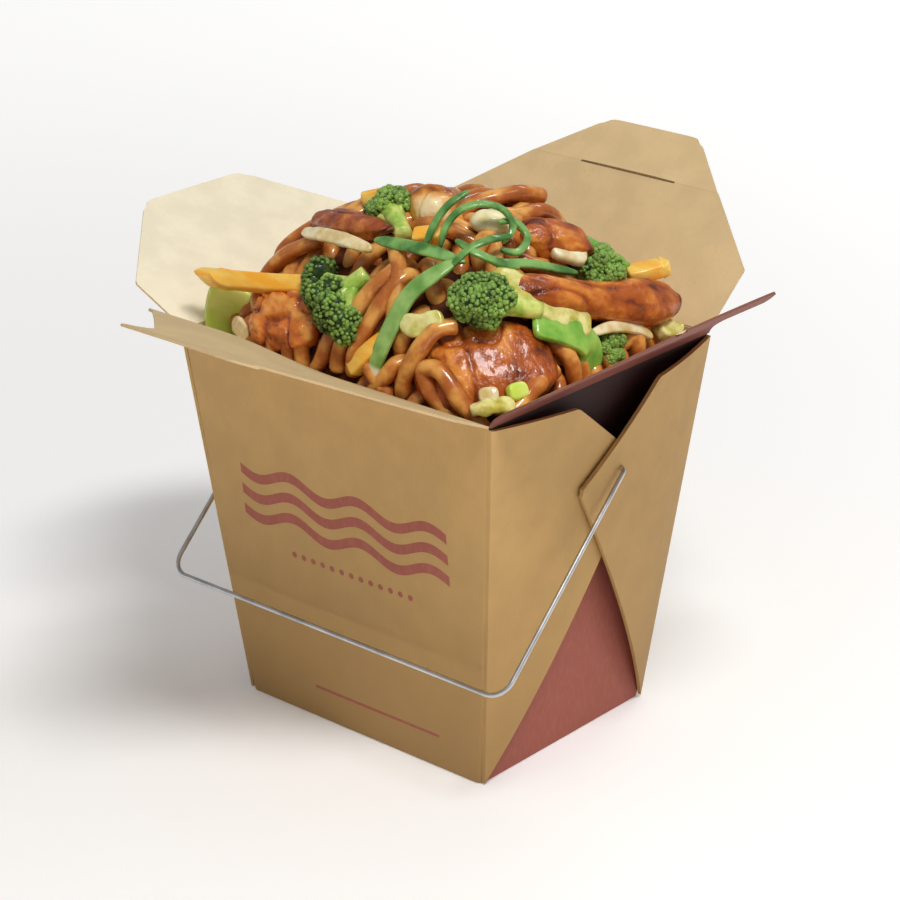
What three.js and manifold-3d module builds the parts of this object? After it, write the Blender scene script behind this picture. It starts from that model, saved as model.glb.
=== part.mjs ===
// Open paperboard food pail with a wire handle, heaped with stir-fried noodles, chicken and
// vegetables. Millimetres, +Z up, origin in the middle of the underside of the base. The plain
// front wall faces -Y; the side walls, with the folded corner gussets that carry the handle,
// face +X and -X. Four top flaps stand open round the rim.

import * as THREE from 'three';
import { mergeVertices } from 'three/addons/utils/BufferGeometryUtils.js';
import Module from 'manifold-3d';

const wasm = await Module();
wasm.setup();

// ---- Driving dimensions -------------------------------------------------------------------

const PAIL = { height: 106, topX: 105.3, topY: 88.9, baseX: 82.6, baseY: 67.1, board: 0.6 };
const BASE_CORNER_CUT = 1.6; // the base's corners are blunt where three creases meet
const GAP = 0.35; // clear space kept between neighbouring pieces

// A gusset is a doubled triangle of board folded from a corner over the side wall. Its outline
// is measured across the wall (y) and down it from the rim (s).
const GUSSET = {
  ply: 1.1, kneeY: 15.5, kneeS: 2, apexY: 13.6, apexS: 25.6, topS: 0.8, lower: 4.6, upper: 6.3,
};

// Flaps: half the crease's length, the straight side, half the tip, the reach and the rest angle
// above level. The front flap ends in a barbed tongue, which locks into the back flap's slit when
// the box is shut. The slit lies on a cross crease, and the board past it is bent.
const FLAP_HINGE_GAP = 0.75;
const LEFT_FLAP = { half: 44.2, side: 19.5, tip: 18.3, reach: 45.5 };
const RIGHT_FLAP = { half: 44.2, side: 19.5, tip: 18.3, reach: 47 };
const FRONT_FLAP = {
  half: 52.4, side: 14.5, neck: 16, neckAt: 48.4, barb: 22.5, barbAt: 51.5, tip: 19.5, reach: 57.5,
};
const BACK_FLAP = { half: 52.4, side: 20.2, tip: 15.5, reach: 57, crease: 40.5, bend: -8 };
const SLIT = { from: -15, to: 17.5, width: 0.5 };
const FLAP_ANGLE = { front: 24, back: 40, left: 26, right: 34.5 };

// The wire bail: its pivots pass through the gussets.
const WIRE = { radius: 0.65, pivotY: 1.6, pivotZ: 82.4, armX: 58.8, arm: 67, drop: 44.6, corner: 5.5 };
const WIRE_HOOK = { x: 52.6, length: 3.2, bend: 1.3, holeRadius: 1.3 };

// The heap: a superelliptic dome that springs from the rim. The noodles' shared core lies one
// strand under it.
const HEAP = { halfX: 52, halfY: 43.5, rise: 38, square: 4, fall: 2.2, crown: 0.8, skin: 3 };
const NOODLE_RADIUS = 2.3;

// ---- Small vector and solid helpers -------------------------------------------------------

const V = (x, y, z) => new THREE.Vector3(x, y, z);
const radians = THREE.MathUtils.degToRad;
const mix = THREE.MathUtils.lerp;
const UP = V(0, 0, 1);

// A seeded stream of numbers in 0..1.
function randomStream(seed) {
  let state = seed;
  return () => {
    state = (state + 0x6d2b79f5) | 0;
    let t = Math.imul(state ^ (state >>> 15), 1 | state);
    t = (t + Math.imul(t ^ (t >>> 7), 61 | t)) ^ t;
    return ((t ^ (t >>> 14)) >>> 0) / 4294967296;
  };
}

function solidOf(geometry) {
  const bare = geometry.clone();
  bare.deleteAttribute('normal');
  bare.deleteAttribute('uv');
  const merged = mergeVertices(bare, 1e-5);
  const vertProperties = new Float32Array(merged.attributes.position.array);
  const triVerts = new Uint32Array(merged.index.array);
  return new wasm.Manifold(new wasm.Mesh({ numProp: 3, vertProperties, triVerts }));
}

function geometryOf(solid) {
  const mesh = solid.getMesh();
  const geometry = new THREE.BufferGeometry();
  geometry.setAttribute('position', new THREE.Float32BufferAttribute(mesh.vertProperties, 3));
  geometry.setIndex(new THREE.Uint32BufferAttribute(mesh.triVerts, 1));
  geometry.computeVertexNormals();
  return geometry;
}

// The same solid on the other side of the pail.
function mirroredInX(solid) {
  const mesh = solid.getMesh();
  const vertProperties = mesh.vertProperties.map((value, i) => (i % 3 === 0 ? -value : value));
  const triVerts = mesh.triVerts.slice().reverse();
  return new wasm.Manifold(new wasm.Mesh({ numProp: 3, vertProperties, triVerts }));
}

function largestPiece(solid) {
  const pieces = solid.decompose();
  return pieces.reduce((best, piece) => (piece.volume() > best.volume() ? piece : best));
}

// A closed solid through rings of points. Each ring runs counter-clockwise as seen from the
// last ring's end.
function loft(rings) {
  const count = rings[0].length;
  const index = [];
  for (let k = 0; k + 1 < rings.length; k++) {
    for (let i = 0; i < count; i++) {
      const a = k * count + i;
      const b = k * count + ((i + 1) % count);
      index.push(a, b, b + count, a, b + count, a + count);
    }
  }
  const last = (rings.length - 1) * count;
  for (let i = 1; i + 1 < count; i++) {
    index.push(0, i + 1, i, last, last + i, last + i + 1);
  }
  const geometry = new THREE.BufferGeometry();
  geometry.setAttribute('position', new THREE.Float32BufferAttribute(
    rings.flat().flatMap((p) => [p.x, p.y, p.z]), 3));
  geometry.setIndex(index);
  return solidOf(geometry);
}

// A solid swept along a path. section(t) gives the ring at t in 0..1 as [side, up] offsets, and
// upAt(point) says which way is up on the section.
function sweep(path, section, upAt) {
  const rings = path.map((point, i) => {
    const before = path[Math.max(i - 1, 0)];
    const after = path[Math.min(i + 1, path.length - 1)];
    const tangent = after.clone().sub(before).normalize();
    const side = upAt(point).clone().cross(tangent).normalize();
    const up = tangent.clone().cross(side);
    return section(i / (path.length - 1)).map(([s, u]) => (
      point.clone().addScaledVector(side, s).addScaledVector(up, u)));
  });
  return loft(rings);
}

function roundSection(radiusS, radiusU, sides) {
  return Array.from({ length: sides }, (_, i) => {
    const angle = (2 * Math.PI * i) / sides;
    return [radiusS * Math.cos(angle), radiusU * Math.sin(angle)];
  });
}

function flatSection(width, thickness) {
  const w = width / 2;
  const t = thickness / 2;
  const edge = Math.min(w, t) * 0.4;
  return [[w, 0], [w - edge, t], [-w + edge, t], [-w, 0], [-w + edge, -t], [w - edge, -t]];
}

// A polyline whose inner corners are rounded to the radii given.
function roundedPath(corners, radii, steps) {
  const path = [corners[0]];
  for (let i = 1; i + 1 < corners.length; i++) {
    const back = corners[i - 1].clone().sub(corners[i]).normalize();
    const on = corners[i + 1].clone().sub(corners[i]).normalize();
    const half = back.angleTo(on) / 2;
    const reach = radii[i - 1] / Math.tan(half);
    const centre = corners[i].clone().addScaledVector(
      back.clone().add(on).normalize(), radii[i - 1] / Math.sin(half));
    const from = corners[i].clone().addScaledVector(back, reach).sub(centre);
    const to = corners[i].clone().addScaledVector(on, reach).sub(centre);
    const turn = from.angleTo(to);
    for (let k = 0; k <= steps; k++) {
      const a = Math.sin(((steps - k) / steps) * turn) / Math.sin(turn);
      const b = Math.sin((k / steps) * turn) / Math.sin(turn);
      path.push(centre.clone().addScaledVector(from, a).addScaledVector(to, b));
    }
  }
  path.push(corners[corners.length - 1]);
  return path;
}

// ---- The pail -----------------------------------------------------------------------------

function cutRectangle(halfX, halfY, cut, z) {
  const quarter = [[halfX - cut, -halfY], [halfX, -halfY + cut], [halfX, halfY - cut], [halfX - cut, halfY]];
  const ring = [...quarter, ...quarter.map(([x, y]) => [-x, -y])];
  return ring.map(([x, y]) => V(x, y, z));
}

// The pail's outer surface moved inwards by `inset`, between two heights.
function pailBlock(inset, zLow, zHigh) {
  const ringAt = (z) => {
    const t = z / PAIL.height;
    const cut = mix(BASE_CORNER_CUT, 0.4, THREE.MathUtils.clamp(t, 0, 1));
    return cutRectangle(
      mix(PAIL.baseX, PAIL.topX, t) / 2 - inset, mix(PAIL.baseY, PAIL.topY, t) / 2 - inset, cut, z);
  };
  return loft([ringAt(zLow), ringAt(zHigh)]);
}

// Side wall frame at +X: y across, s down the slope from the rim, h out from the wall.
const WALL_RUN = Math.hypot(PAIL.height, (PAIL.topX - PAIL.baseX) / 2);
const WALL_DOWN = V((PAIL.baseX - PAIL.topX) / 2, 0, -PAIL.height).normalize();
const WALL_OUT = V(-WALL_DOWN.z, 0, WALL_DOWN.x);

function onSideWall(y, s, h) {
  return V(PAIL.topX / 2, y, PAIL.height).addScaledVector(WALL_DOWN, s).addScaledVector(WALL_OUT, h);
}

// One gusset at +X, folded from the corner at y = -hand * half. Its columns fan out from the
// corner's crease to the apex, and it bows off the wall, most in the middle.
function gusset(hand, standOff) {
  const across = 8;
  const down = 3;
  const halfAt = (s) => mix(PAIL.topY, PAIL.baseY, s / WALL_RUN) / 2;
  const corner = [-halfAt(GUSSET.topS) + 0.4, GUSSET.topS];
  const knee = [-GUSSET.kneeY, GUSSET.kneeS];
  const apex = [GUSSET.apexY, GUSSET.apexS];
  const base = [-halfAt(WALL_RUN) + 0.8, WALL_RUN - 1];
  const between = (p, q, t) => [mix(p[0], q[0], t), mix(p[1], q[1], t)];
  const rings = [];
  for (let j = 0; j <= across; j++) {
    const v = (0.975 * j) / across;
    const top = v < 0.5 ? between(corner, knee, 2 * v) : between(knee, apex, 2 * v - 1);
    const foot = between(base, apex, v);
    const inner = [];
    const outer = [];
    for (let i = 0; i <= down; i++) {
      const [y, s] = between(top, foot, i / down);
      const lift = standOff * (1 - (y / halfAt(s)) ** 2) - 0.3 * (1 - v);
      inner.unshift(onSideWall(hand * y, s, lift));
      outer.push(onSideWall(hand * y, s, lift + GUSSET.ply));
    }
    rings.push([...outer, ...inner]);
  }
  return loft(hand < 0 ? rings.reverse() : rings);
}

function pivotHole() {
  const ends = [WIRE_HOOK.x + 1, WIRE.armX + 6].map((x) => V(x, WIRE.pivotY, WIRE.pivotZ));
  return sweep(ends, () => roundSection(WIRE_HOOK.holeRadius, WIRE_HOOK.holeRadius, 12), () => UP);
}

function makeCarton() {
  const shell = pailBlock(0, 0, PAIL.height).subtract(
    pailBlock(PAIL.board, PAIL.board, PAIL.height + 1));
  const gussets = gusset(1, GUSSET.lower).add(gusset(-1, GUSSET.upper)).subtract(pivotHole());
  return shell.add(gussets).add(mirroredInX(gussets));
}

// A flap lies in its own XY plane: its crease along X, its reach along +Y.
function flapPlate(outline, from, to) {
  const shape = new THREE.Shape(outline.map(([s, t]) => new THREE.Vector2(s, t)));
  const plate = solidOf(new THREE.ExtrudeGeometry(shape, { depth: PAIL.board, bevelEnabled: false })
    .translate(0, 0, -PAIL.board / 2));
  const band = solidOf(new THREE.BoxGeometry(200, to - from, 4).translate(0, (from + to) / 2, 0));
  return plate.intersect(band);
}

function makeFlap(size, slit) {
  const rightSide = [[size.half, 0], [size.half, size.side]];
  if (size.neck) {
    rightSide.push([size.neck, size.neckAt], [size.barb, size.barbAt]);
  }
  rightSide.push([size.tip, size.reach]);
  const outline = [...rightSide, ...rightSide.map(([s, t]) => [-s, t]).reverse()];
  const crease = size.crease ?? size.reach;
  let flap = flapPlate(outline, FLAP_HINGE_GAP, crease);
  if (size.crease) {
    const tip = geometryOf(flapPlate(outline, crease, size.reach))
      .translate(0, -crease, 0).rotateX(radians(size.bend)).translate(0, crease, 0);
    const fold = new THREE.CylinderGeometry(PAIL.board / 2, PAIL.board / 2, 1, 8)
      .rotateZ(Math.PI / 2).scale(size.tip + size.half - size.side, 1, 1).translate(0, crease, 0);
    flap = flap.add(solidOf(tip)).add(solidOf(fold));
  }
  if (slit) {
    const length = slit.to - slit.from;
    flap = flap.subtract(solidOf(new THREE.BoxGeometry(length, slit.width, 4)
      .translate((slit.to + slit.from) / 2, crease, 0)));
  }
  return flap;
}

function makeHandle() {
  const { armX, pivotY, pivotZ } = WIRE;
  const reachY = pivotY - WIRE.arm * Math.cos(radians(WIRE.drop));
  const reachZ = pivotZ - WIRE.arm * Math.sin(radians(WIRE.drop));
  const right = [
    V(WIRE_HOOK.x, pivotY, pivotZ - WIRE_HOOK.length), V(WIRE_HOOK.x, pivotY, pivotZ),
    V(armX, pivotY, pivotZ), V(armX, reachY, reachZ)];
  const left = right.map((p) => V(-p.x, p.y, p.z)).reverse();
  const bends = [WIRE_HOOK.bend, WIRE_HOOK.bend, WIRE.corner, WIRE.corner, WIRE_HOOK.bend, WIRE_HOOK.bend];
  const path = roundedPath([...right, ...left], bends, 3);
  return wireAlong(path);
}

// A round wire whose section turns with the path and never twists.
function wireAlong(path) {
  const sides = 8;
  let up = V(0, 1, 0);
  const rings = path.map((point, i) => {
    const before = path[Math.max(i - 1, 0)];
    const after = path[Math.min(i + 1, path.length - 1)];
    const tangent = after.clone().sub(before).normalize();
    up = up.clone().addScaledVector(tangent, -up.dot(tangent)).normalize();
    const side = up.clone().cross(tangent);
    return roundSection(WIRE.radius, WIRE.radius, sides).map(([s, u]) => (
      point.clone().addScaledVector(side, s).addScaledVector(up, u)));
  });
  return loft(rings);
}

// ---- The heap's form ----------------------------------------------------------------------

function heapTop(x, y) {
  const r = ((Math.abs(x) / HEAP.halfX) ** HEAP.square
    + (Math.abs(y) / HEAP.halfY) ** HEAP.square) ** (1 / HEAP.square);
  return PAIL.height + HEAP.rise * Math.max(0, 1 - r ** HEAP.fall) ** HEAP.crown;
}

function heapNormal(point) {
  const step = 1.5;
  const x = THREE.MathUtils.clamp(point.x, -46, 46);
  const y = THREE.MathUtils.clamp(point.y, -38, 38);
  const dx = (heapTop(x + step, y) - heapTop(x - step, y)) / (2 * step);
  const dy = (heapTop(x, y + step) - heapTop(x, y - step)) / (2 * step);
  return V(-dx, -dy, 1).normalize();
}

// The core's rings climb from the floor to the rim and then over the dome, one skin below it.
function heapCore(grow) {
  const around = 24;
  const superRing = (r, z) => Array.from({ length: around }, (_, i) => {
    const angle = (2 * Math.PI * (i + 0.5)) / around;
    const bulge = (value) => Math.sign(value) * Math.abs(value) ** (2 / HEAP.square);
    return V(HEAP.halfX * r * bulge(Math.cos(angle)), HEAP.halfY * r * bulge(Math.sin(angle)), z);
  });
  const radii = [0.97, 0.9, 0.78, 0.6, 0.36, 0.03];
  const rise = (r) => PAIL.height - HEAP.skin + grow
    + HEAP.rise * Math.max(0, 1 - r ** HEAP.fall) ** HEAP.crown;
  const low = PAIL.height - HEAP.skin;
  const inner = low / PAIL.height;
  const baseRatio = (mix(PAIL.baseX, PAIL.topX, 0.05) / 2 - 2) / HEAP.halfX;
  const rings = [
    superRing(baseRatio, PAIL.board + GAP), superRing(mix(baseRatio, 1, inner) - 0.03, low - 4),
    ...radii.map((r) => superRing(r - 0.012, rise(r)))];
  return loft(rings);
}

// ---- Kinds of food piece ------------------------------------------------------------------
// Each maker takes `grow`, which swells the piece all round: the swollen copy cuts its
// neighbours, so that every two pieces stay clear of each other.

// Gentle unevenness of a surface in the direction d, from three waves set by the seed.
function unevenness(d, seed) {
  let sum = 0;
  for (let k = 1; k <= 3; k++) {
    const phase = seed * 2.39 + k * 1.7;
    sum += Math.sin(d.x * (1.3 * k + 1) + phase) * Math.sin(d.y * (1.5 * k + 0.8) + 1.3 * phase)
      * Math.cos(d.z * (1.2 * k + 1.1) + 0.7 * phase) / k;
  }
  return sum;
}

// A frame along a to b whose up is the heap's normal at the middle.
function frameBetween(a, b) {
  const middle = a.clone().lerp(b, 0.5);
  const along = b.clone().sub(a).normalize();
  const side = heapNormal(middle).cross(along).normalize();
  return { middle, along, side, up: along.clone().cross(side) };
}

// A cut of meat or a nut: a squarish, uneven lump from a to b.
function lump(a, b, width, thickness, { seed = 1, rough = 0.12, detail = 2, square = 0.8 } = {}) {
  return (grow) => {
    const { middle, along, side, up } = frameBetween(a, b);
    const ball = new THREE.IcosahedronGeometry(1, detail);
    const place = ball.attributes.position;
    const half = [a.distanceTo(b) / 2 + grow, width / 2 + grow, thickness / 2 + grow];
    const d = V(0, 0, 0);
    for (let i = 0; i < place.count; i++) {
      d.fromBufferAttribute(place, i).normalize();
      const swell = 1 + rough * unevenness(d, seed);
      const [x, y, z] = [d.x, d.y, d.z].map((value, axis) => (
        Math.sign(value) * Math.abs(value) ** square * half[axis] * swell));
      const p = middle.clone().addScaledVector(along, x).addScaledVector(side, y).addScaledVector(up, z);
      place.setXYZ(i, p.x, p.y, p.z);
    }
    return solidOf(ball);
  };
}

// A strip cut from a vegetable, or a curl of leaf: a flat section along a smooth path. It lies
// flat on the heap, or turns its broad side towards `face`.
function strip(points, width, thickness, { steps = 6, taper = 0.5, face = null } = {}) {
  return (grow) => {
    const path = new THREE.CatmullRomCurve3(points).getPoints(steps);
    const ends = [path[0], path[path.length - 1]];
    const next = [path[1], path[path.length - 2]];
    ends.forEach((end, i) => end.addScaledVector(end.clone().sub(next[i]).normalize(), grow));
    return sweep(path, (t) => {
      const fullness = 1 - (1 - taper) * Math.abs(2 * t - 1) ** 4;
      return flatSection(width * fullness + 2 * grow, thickness + 2 * grow);
    }, face ? () => face : heapNormal);
  };
}

// A long cut of meat: round in section, with a width and thickness given at each of its ends,
// and swelling and thinning a little along its path.
function longCut(points, width, thickness, seed) {
  return (grow) => {
    const path = new THREE.CatmullRomCurve3(points).getPoints(10);
    return sweep(path, (t) => {
      const end = Math.sqrt(Math.max(0, 1 - Math.abs(2 * t - 1) ** 5)) * 0.8 + 0.2;
      const wave = 1 + 0.1 * Math.sin(9 * t + seed);
      const halfWidth = mix(width[0], width[1], t) / 2;
      const halfThickness = mix(thickness[0], thickness[1], t) / 2;
      return roundSection(halfWidth * end * wave + grow, halfThickness * end + grow, 10);
    }, heapNormal);
  };
}

// A broccoli floret: a bumpy crown, long and wide as given, on a tapering stem from `foot`.
function floret(foot, crown, long, wide, deep, seed) {
  return (grow) => {
    const stemPath = [foot, crown];
    const stem = sweep(stemPath, (t) => {
      const radius = mix(2.4, 3.4, t) + grow;
      return roundSection(radius, radius, 6);
    }, () => V(0.31, 0.17, 0.93).normalize());
    const axis = crown.clone().sub(foot).normalize();
    const side = heapNormal(crown).cross(axis).normalize();
    const up = axis.clone().cross(side);
    const ball = new THREE.IcosahedronGeometry(1, 2);
    const place = ball.attributes.position;
    const d = V(0, 0, 0);
    for (let i = 0; i < place.count; i++) {
      d.fromBufferAttribute(place, i).normalize();
      const bumps = Math.sin(7 * d.x + seed) * Math.sin(7 * d.y + 2 * seed) * Math.sin(7 * d.z + seed);
      const swell = 1 + 0.1 * bumps;
      const p = crown.clone()
        .addScaledVector(axis, d.x * (deep + grow) * swell)
        .addScaledVector(side, d.y * (long + grow) * swell)
        .addScaledVector(up, d.z * (wide + grow) * swell);
      place.setXYZ(i, p.x, p.y, p.z);
    }
    return solidOf(ball).add(stem);
  };
}

// ---- Finishes -----------------------------------------------------------------------------

const FINISH = {
  kraft: new THREE.MeshStandardMaterial({ color: 0xb3925f, roughness: 0.8, metalness: 0 }),
  wire: new THREE.MeshStandardMaterial({ color: 0xa9a9a9, roughness: 0.3, metalness: 1 }),
  noodle: new THREE.MeshStandardMaterial({ color: 0xa8591c, roughness: 0.3, metalness: 0 }),
  chicken: new THREE.MeshStandardMaterial({ color: 0xa04f16, roughness: 0.3, metalness: 0 }),
  broccoli: new THREE.MeshStandardMaterial({ color: 0x2f6b22, roughness: 0.6, metalness: 0 }),
  carrot: new THREE.MeshStandardMaterial({ color: 0xe88a1e, roughness: 0.35, metalness: 0 }),
  pepper: new THREE.MeshStandardMaterial({ color: 0x7fb02d, roughness: 0.25, metalness: 0 }),
  onionGreen: new THREE.MeshStandardMaterial({ color: 0x2f7a2a, roughness: 0.4, metalness: 0 }),
  cabbage: new THREE.MeshStandardMaterial({ color: 0xe8dc92, roughness: 0.4, metalness: 0 }),
  nut: new THREE.MeshStandardMaterial({ color: 0xe9d68f, roughness: 0.4, metalness: 0 }),
};

// ---- Toppings, in the order in which they are fitted ----------------------------------------
// A later piece is cut back where it would touch an earlier one. Places are in millimetres.

const TOPPINGS = [
  ['chicken_front', 'chicken', lump(V(25, -40, 108.5), V(46, -15, 114.5), 27, 13, { seed: 3, detail: 3 })],
  ['chicken_left', 'chicken', lump(V(-33, -37.5, 112), V(-9, -37, 116.5), 18, 11, { seed: 5 })],
  ['chicken_top', 'chicken', lump(V(1, -12, 140), V(3, -1, 141), 13.5, 14, { seed: 8 })],
  ['chicken_slice_top', 'chicken', lump(V(-31, -16, 134), V(-1, -20, 138), 8, 6, { seed: 2 })],
  ['chicken_long', 'chicken', longCut(
    [V(34, -17, 130.5), V(40, -6, 127), V(44, 8, 122), V(46, 22, 118.5), V(46.5, 38, 115)],
    [8.5, 13], [8, 10], 1)],
  ['chicken_back_right', 'chicken', lump(V(23, 1, 138), V(35, 16, 133), 11, 8, { seed: 11 })],
  ['chicken_back', 'chicken', lump(V(-26, 20, 131), V(-6, 31, 127), 17, 10, { seed: 14, detail: 1 })],
  ['chicken_back_left', 'chicken', lump(V(-44, -2, 121), V(-38, 16, 124), 15, 9, { seed: 17, detail: 1 })],
  ['broccoli_left', 'broccoli', floret(V(0, -30, 129.5), V(-6, -36, 122.5), 15, 7, 6.5, 1)],
  ['broccoli_front', 'broccoli', floret(V(42, -14, 124), V(34, -25.5, 129), 8, 7.5, 10.5, 2)],
  ['broccoli_right', 'broccoli', floret(V(33, 14, 124), V(38, 17, 126), 7.5, 7, 6, 3)],
  ['broccoli_back_left', 'broccoli', floret(V(2, -18, 137), V(-9, -11, 140), 6.5, 5.5, 6.5, 4)],
  ['broccoli_small', 'broccoli', floret(V(42.5, 6.2, 111.5), V(46.8, 9.9, 111.5), 6.5, 4.5, 5, 5)],
  ['broccoli_back', 'broccoli', floret(V(2, 30, 122), V(5, 36, 120.5), 7, 6.5, 6, 6)],
  ['onion_stalk', 'onionGreen', strip(
    [V(24.1, -23.9, 136.4), V(21.3, -29.4, 133.5), V(17.7, -33.6, 129.1), V(15.6, -37.9, 121.7),
      V(14.3, -41.7, 113.2)],
    4.4, 1.8, { steps: 10, taper: 0.4 })],
  ['carrot_left', 'carrot', strip([V(-50, -39.5, 122), V(-31, -36.5, 123.3), V(-12, -32, 125)], 4.8, 4.4)],
  ['carrot_right', 'carrot', strip([V(37, 29, 122), V(44, 38, 124)], 6, 4, { steps: 3 })],
  ['carrot_diagonal', 'carrot', strip(
    [V(5.4, -41.6, 108), V(10.4, -40.9, 114), V(16.3, -38.7, 120.2)], 4.5, 4)],
  ['carrot_top', 'carrot', strip([V(7, -20, 138), V(14, -17, 139.5)], 5, 4, { steps: 3 })],
  ['carrot_back_left', 'carrot', strip([V(-20, -10, 140), V(-13, -4, 142)], 4.5, 4, { steps: 3 })],
  ['carrot_back', 'carrot', strip([V(-30, 36, 119), V(-12, 38.5, 117)], 5.5, 4.5, { steps: 4 })],
  ['pepper_left', 'pepper', strip(
    [V(-45.5, -34, 101), V(-46, -34, 109), V(-45, -33, 117)], 12.5, 3,
    { steps: 4, face: V(0.45, -0.8, 0.4) })],
  ['pepper_front', 'pepper', strip(
    [V(42.5, -16, 122.5), V(46.3, -8, 119.5), V(48.8, -1.5, 114), V(48.6, -1, 107)], 8.5, 2.4, { steps: 9 })],
  ['pepper_back', 'pepper', strip([V(20, 20, 134), V(30, 27, 128), V(36, 35, 120)], 8, 3.2)],
  ['onion_slice', 'cabbage', strip(
    [V(-26.3, -25.5, 133.5), V(-17, -27.1, 135.3), V(-8.8, -27.3, 135.5), V(-1, -26.6, 134.6)], 3.8, 1.8)],
  ['onion_wedge', 'cabbage', strip([V(31, 5, 134), V(37, 12, 131)], 6, 3, { steps: 3 })],
  ['onion_crescent', 'cabbage', strip(
    [V(47.6, 0.5, 116.4), V(48.3, 8.5, 116.2), V(49.1, 19.2, 112.6), V(50, 23.2, 109.6)], 3, 1.8,
    { steps: 8 })],
  ['cabbage_long', 'cabbage', strip(
    [V(31.5, -18.6, 134), V(37.5, -14.9, 129.7), V(42.8, -7.6, 124.3), V(47.4, 0.8, 117.8)], 9.5, 2.6)],
  ['cabbage_left', 'cabbage', strip(
    [V(-39, -38.3, 110), V(-35, -40.5, 109.3), V(-31.5, -41.5, 107.5)], 4.5, 2.4, { steps: 4 })],
  ['cabbage_front', 'cabbage', strip([V(44, -41.4, 107), V(47.6, -38.1, 108), V(48.3, -30.7, 107)], 5, 3.5)],
  ['cabbage_bit', 'cabbage', strip([V(43, -37.2, 109.6), V(46.3, -33.4, 109.9)], 4, 2.4, { steps: 3 })],
  ['cabbage_middle', 'cabbage', strip(
    [V(17.8, -36.6, 122.6), V(23.6, -36.5, 122.9), V(28.9, -33.6, 125.5)], 6, 2.4)],
  ['cabbage_right', 'cabbage', strip([V(49, 27, 110), V(48.7, 37, 108.5)], 5, 3, { steps: 4 })],
  ['celery_piece', 'pepper', strip([V(47.5, -31.3, 109.6), V(49.2, -26.3, 109.9)], 4.5, 3, { steps: 3 })],
  ['peanut', 'nut', lump(
    V(15.5, -8.5, 141.5), V(24, -2.2, 140.8), 8, 6.5, { seed: 4, rough: 0.05, square: 1, detail: 1 })],
  ['curl_upright', 'onionGreen', strip(
    [V(13.6, -23.3, 137.8), V(14, -20.3, 142.9), V(15.5, -16.7, 147.5), V(18.1, -11.4, 150.5)], 2, 1.3)],
  ['curl_loop', 'onionGreen', strip(
    [V(17.6, -22.2, 138.1), V(17.8, -19.8, 143.6), V(20, -16.7, 147.4), V(23.4, -11.8, 148.3),
      V(26.2, -7.5, 146), V(28, -6.4, 141.9), V(28.3, -10.6, 138.6)], 2, 1.3, { steps: 14 })],
  ['curl_left', 'onionGreen', strip(
    [V(-2, -25, 136.7), V(6.3, -25.2, 137.5), V(17, -25.2, 138), V(26.4, -22.5, 136.3)], 3.4, 1.3,
    { taper: 0.3 })],
  ['curl_right', 'onionGreen', strip(
    [V(28, -17, 137), V(31.1, -16.2, 135.9), V(34.5, -7.5, 134), V(38.8, 6.4, 128.9)], 2.6, 1.3,
    { steps: 7, taper: 0.4 })],
  ['curl_ring', 'onionGreen', strip(
    [V(25.5, -9.2, 143.4), V(27, -4.4, 142.6), V(30.3, -3.6, 139.4), V(32, -9.2, 137), V(29.9, -13.7, 138.2)],
    2, 1.3, { steps: 10 })],
  ['curl_arch', 'onionGreen', strip(
    [V(21, -20.4, 140.5), V(27.5, -20.4, 138.8), V(31.9, -16.8, 136.3), V(34.4, -11.3, 133.9)], 2.2, 1.3)],
  ['curl_bow', 'onionGreen', strip(
    [V(23.9, -25.6, 135.2), V(25.9, -21.2, 139.2), V(28, -16.1, 140.9), V(29.8, -8.9, 140.6)], 2, 1.3)],
];

// ---- Noodles --------------------------------------------------------------------------------
// The strands that show most, each as points across the heap: x, y and a rise above its skin.

const SHOWN_STRANDS = [
  [[-37, -35, 0], [-39, -28, 0], [-36, -22, 0], [-28, -19, 0], [-17, -22, 0]],
  [[-33, -35, 0], [-33, -29, 0.5], [-26, -26, 0.5], [-16, -29, 0], [-10, -29, 0]],
  [[-8, -27, 0.5], [4, -26, 1], [14, -25, 1], [20, -23, 0.5]],
  [[-1, -26, 0], [2, -31, 1], [1, -37, 1], [3, -41, 0]],
  [[5, -27, 0.5], [7, -32, 1.5], [6, -37, 1], [7.5, -41, 0]],
  [[3, -19, 1], [8, -24, 2], [12, -30, 2], [14, -33, 0.5]],
  [[25, -28, 0], [21, -34, 1], [18, -38, 1], [17, -41, 0]],
  [[29, -30, 0], [25, -36, 1], [22, -39, 1], [21, -41, 0]],
  [[23, -41, 0], [30, -41, 0.5], [38, -40, 0], [43, -37, 0]],
  [[48, -31, 0], [49, -22, 0.5], [49, -14, 0], [47, -6, 0]],
  [[-14, -41, 0], [-6, -41.5, 1.5], [2, -41.5, 1.5], [8, -41, 0.5]],
  [[33, -41.5, 1.5], [28.5, -41.5, 2.5], [33, -40.5, 3.5], [39.5, -38.5, 2.5], [42.5, -37, 0.5]],
  [[8, 2, -1.5], [11, 8, 2], [14, 14, 5], [17, 20, 6.5]],
  [[15, 2, -1.5], [19, 8, 1.5], [21, 14, 3.5], [22, 19, 2]],
];
const FILL_STRANDS = 25;
const MOST_LOST = 0.2;

function strandSolid(points, sides, steps) {
  const path = new THREE.CatmullRomCurve3(points.map(([x, y, rise]) => (
    V(x, y, heapTop(x, y) - NOODLE_RADIUS + rise)))).getPoints(steps);
  return sweep(path, (t) => {
    const end = 1 - 0.35 * Math.abs(2 * t - 1) ** 10;
    return roundSection(NOODLE_RADIUS * end, NOODLE_RADIUS * 0.9 * end, sides);
  }, heapNormal);
}

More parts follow.
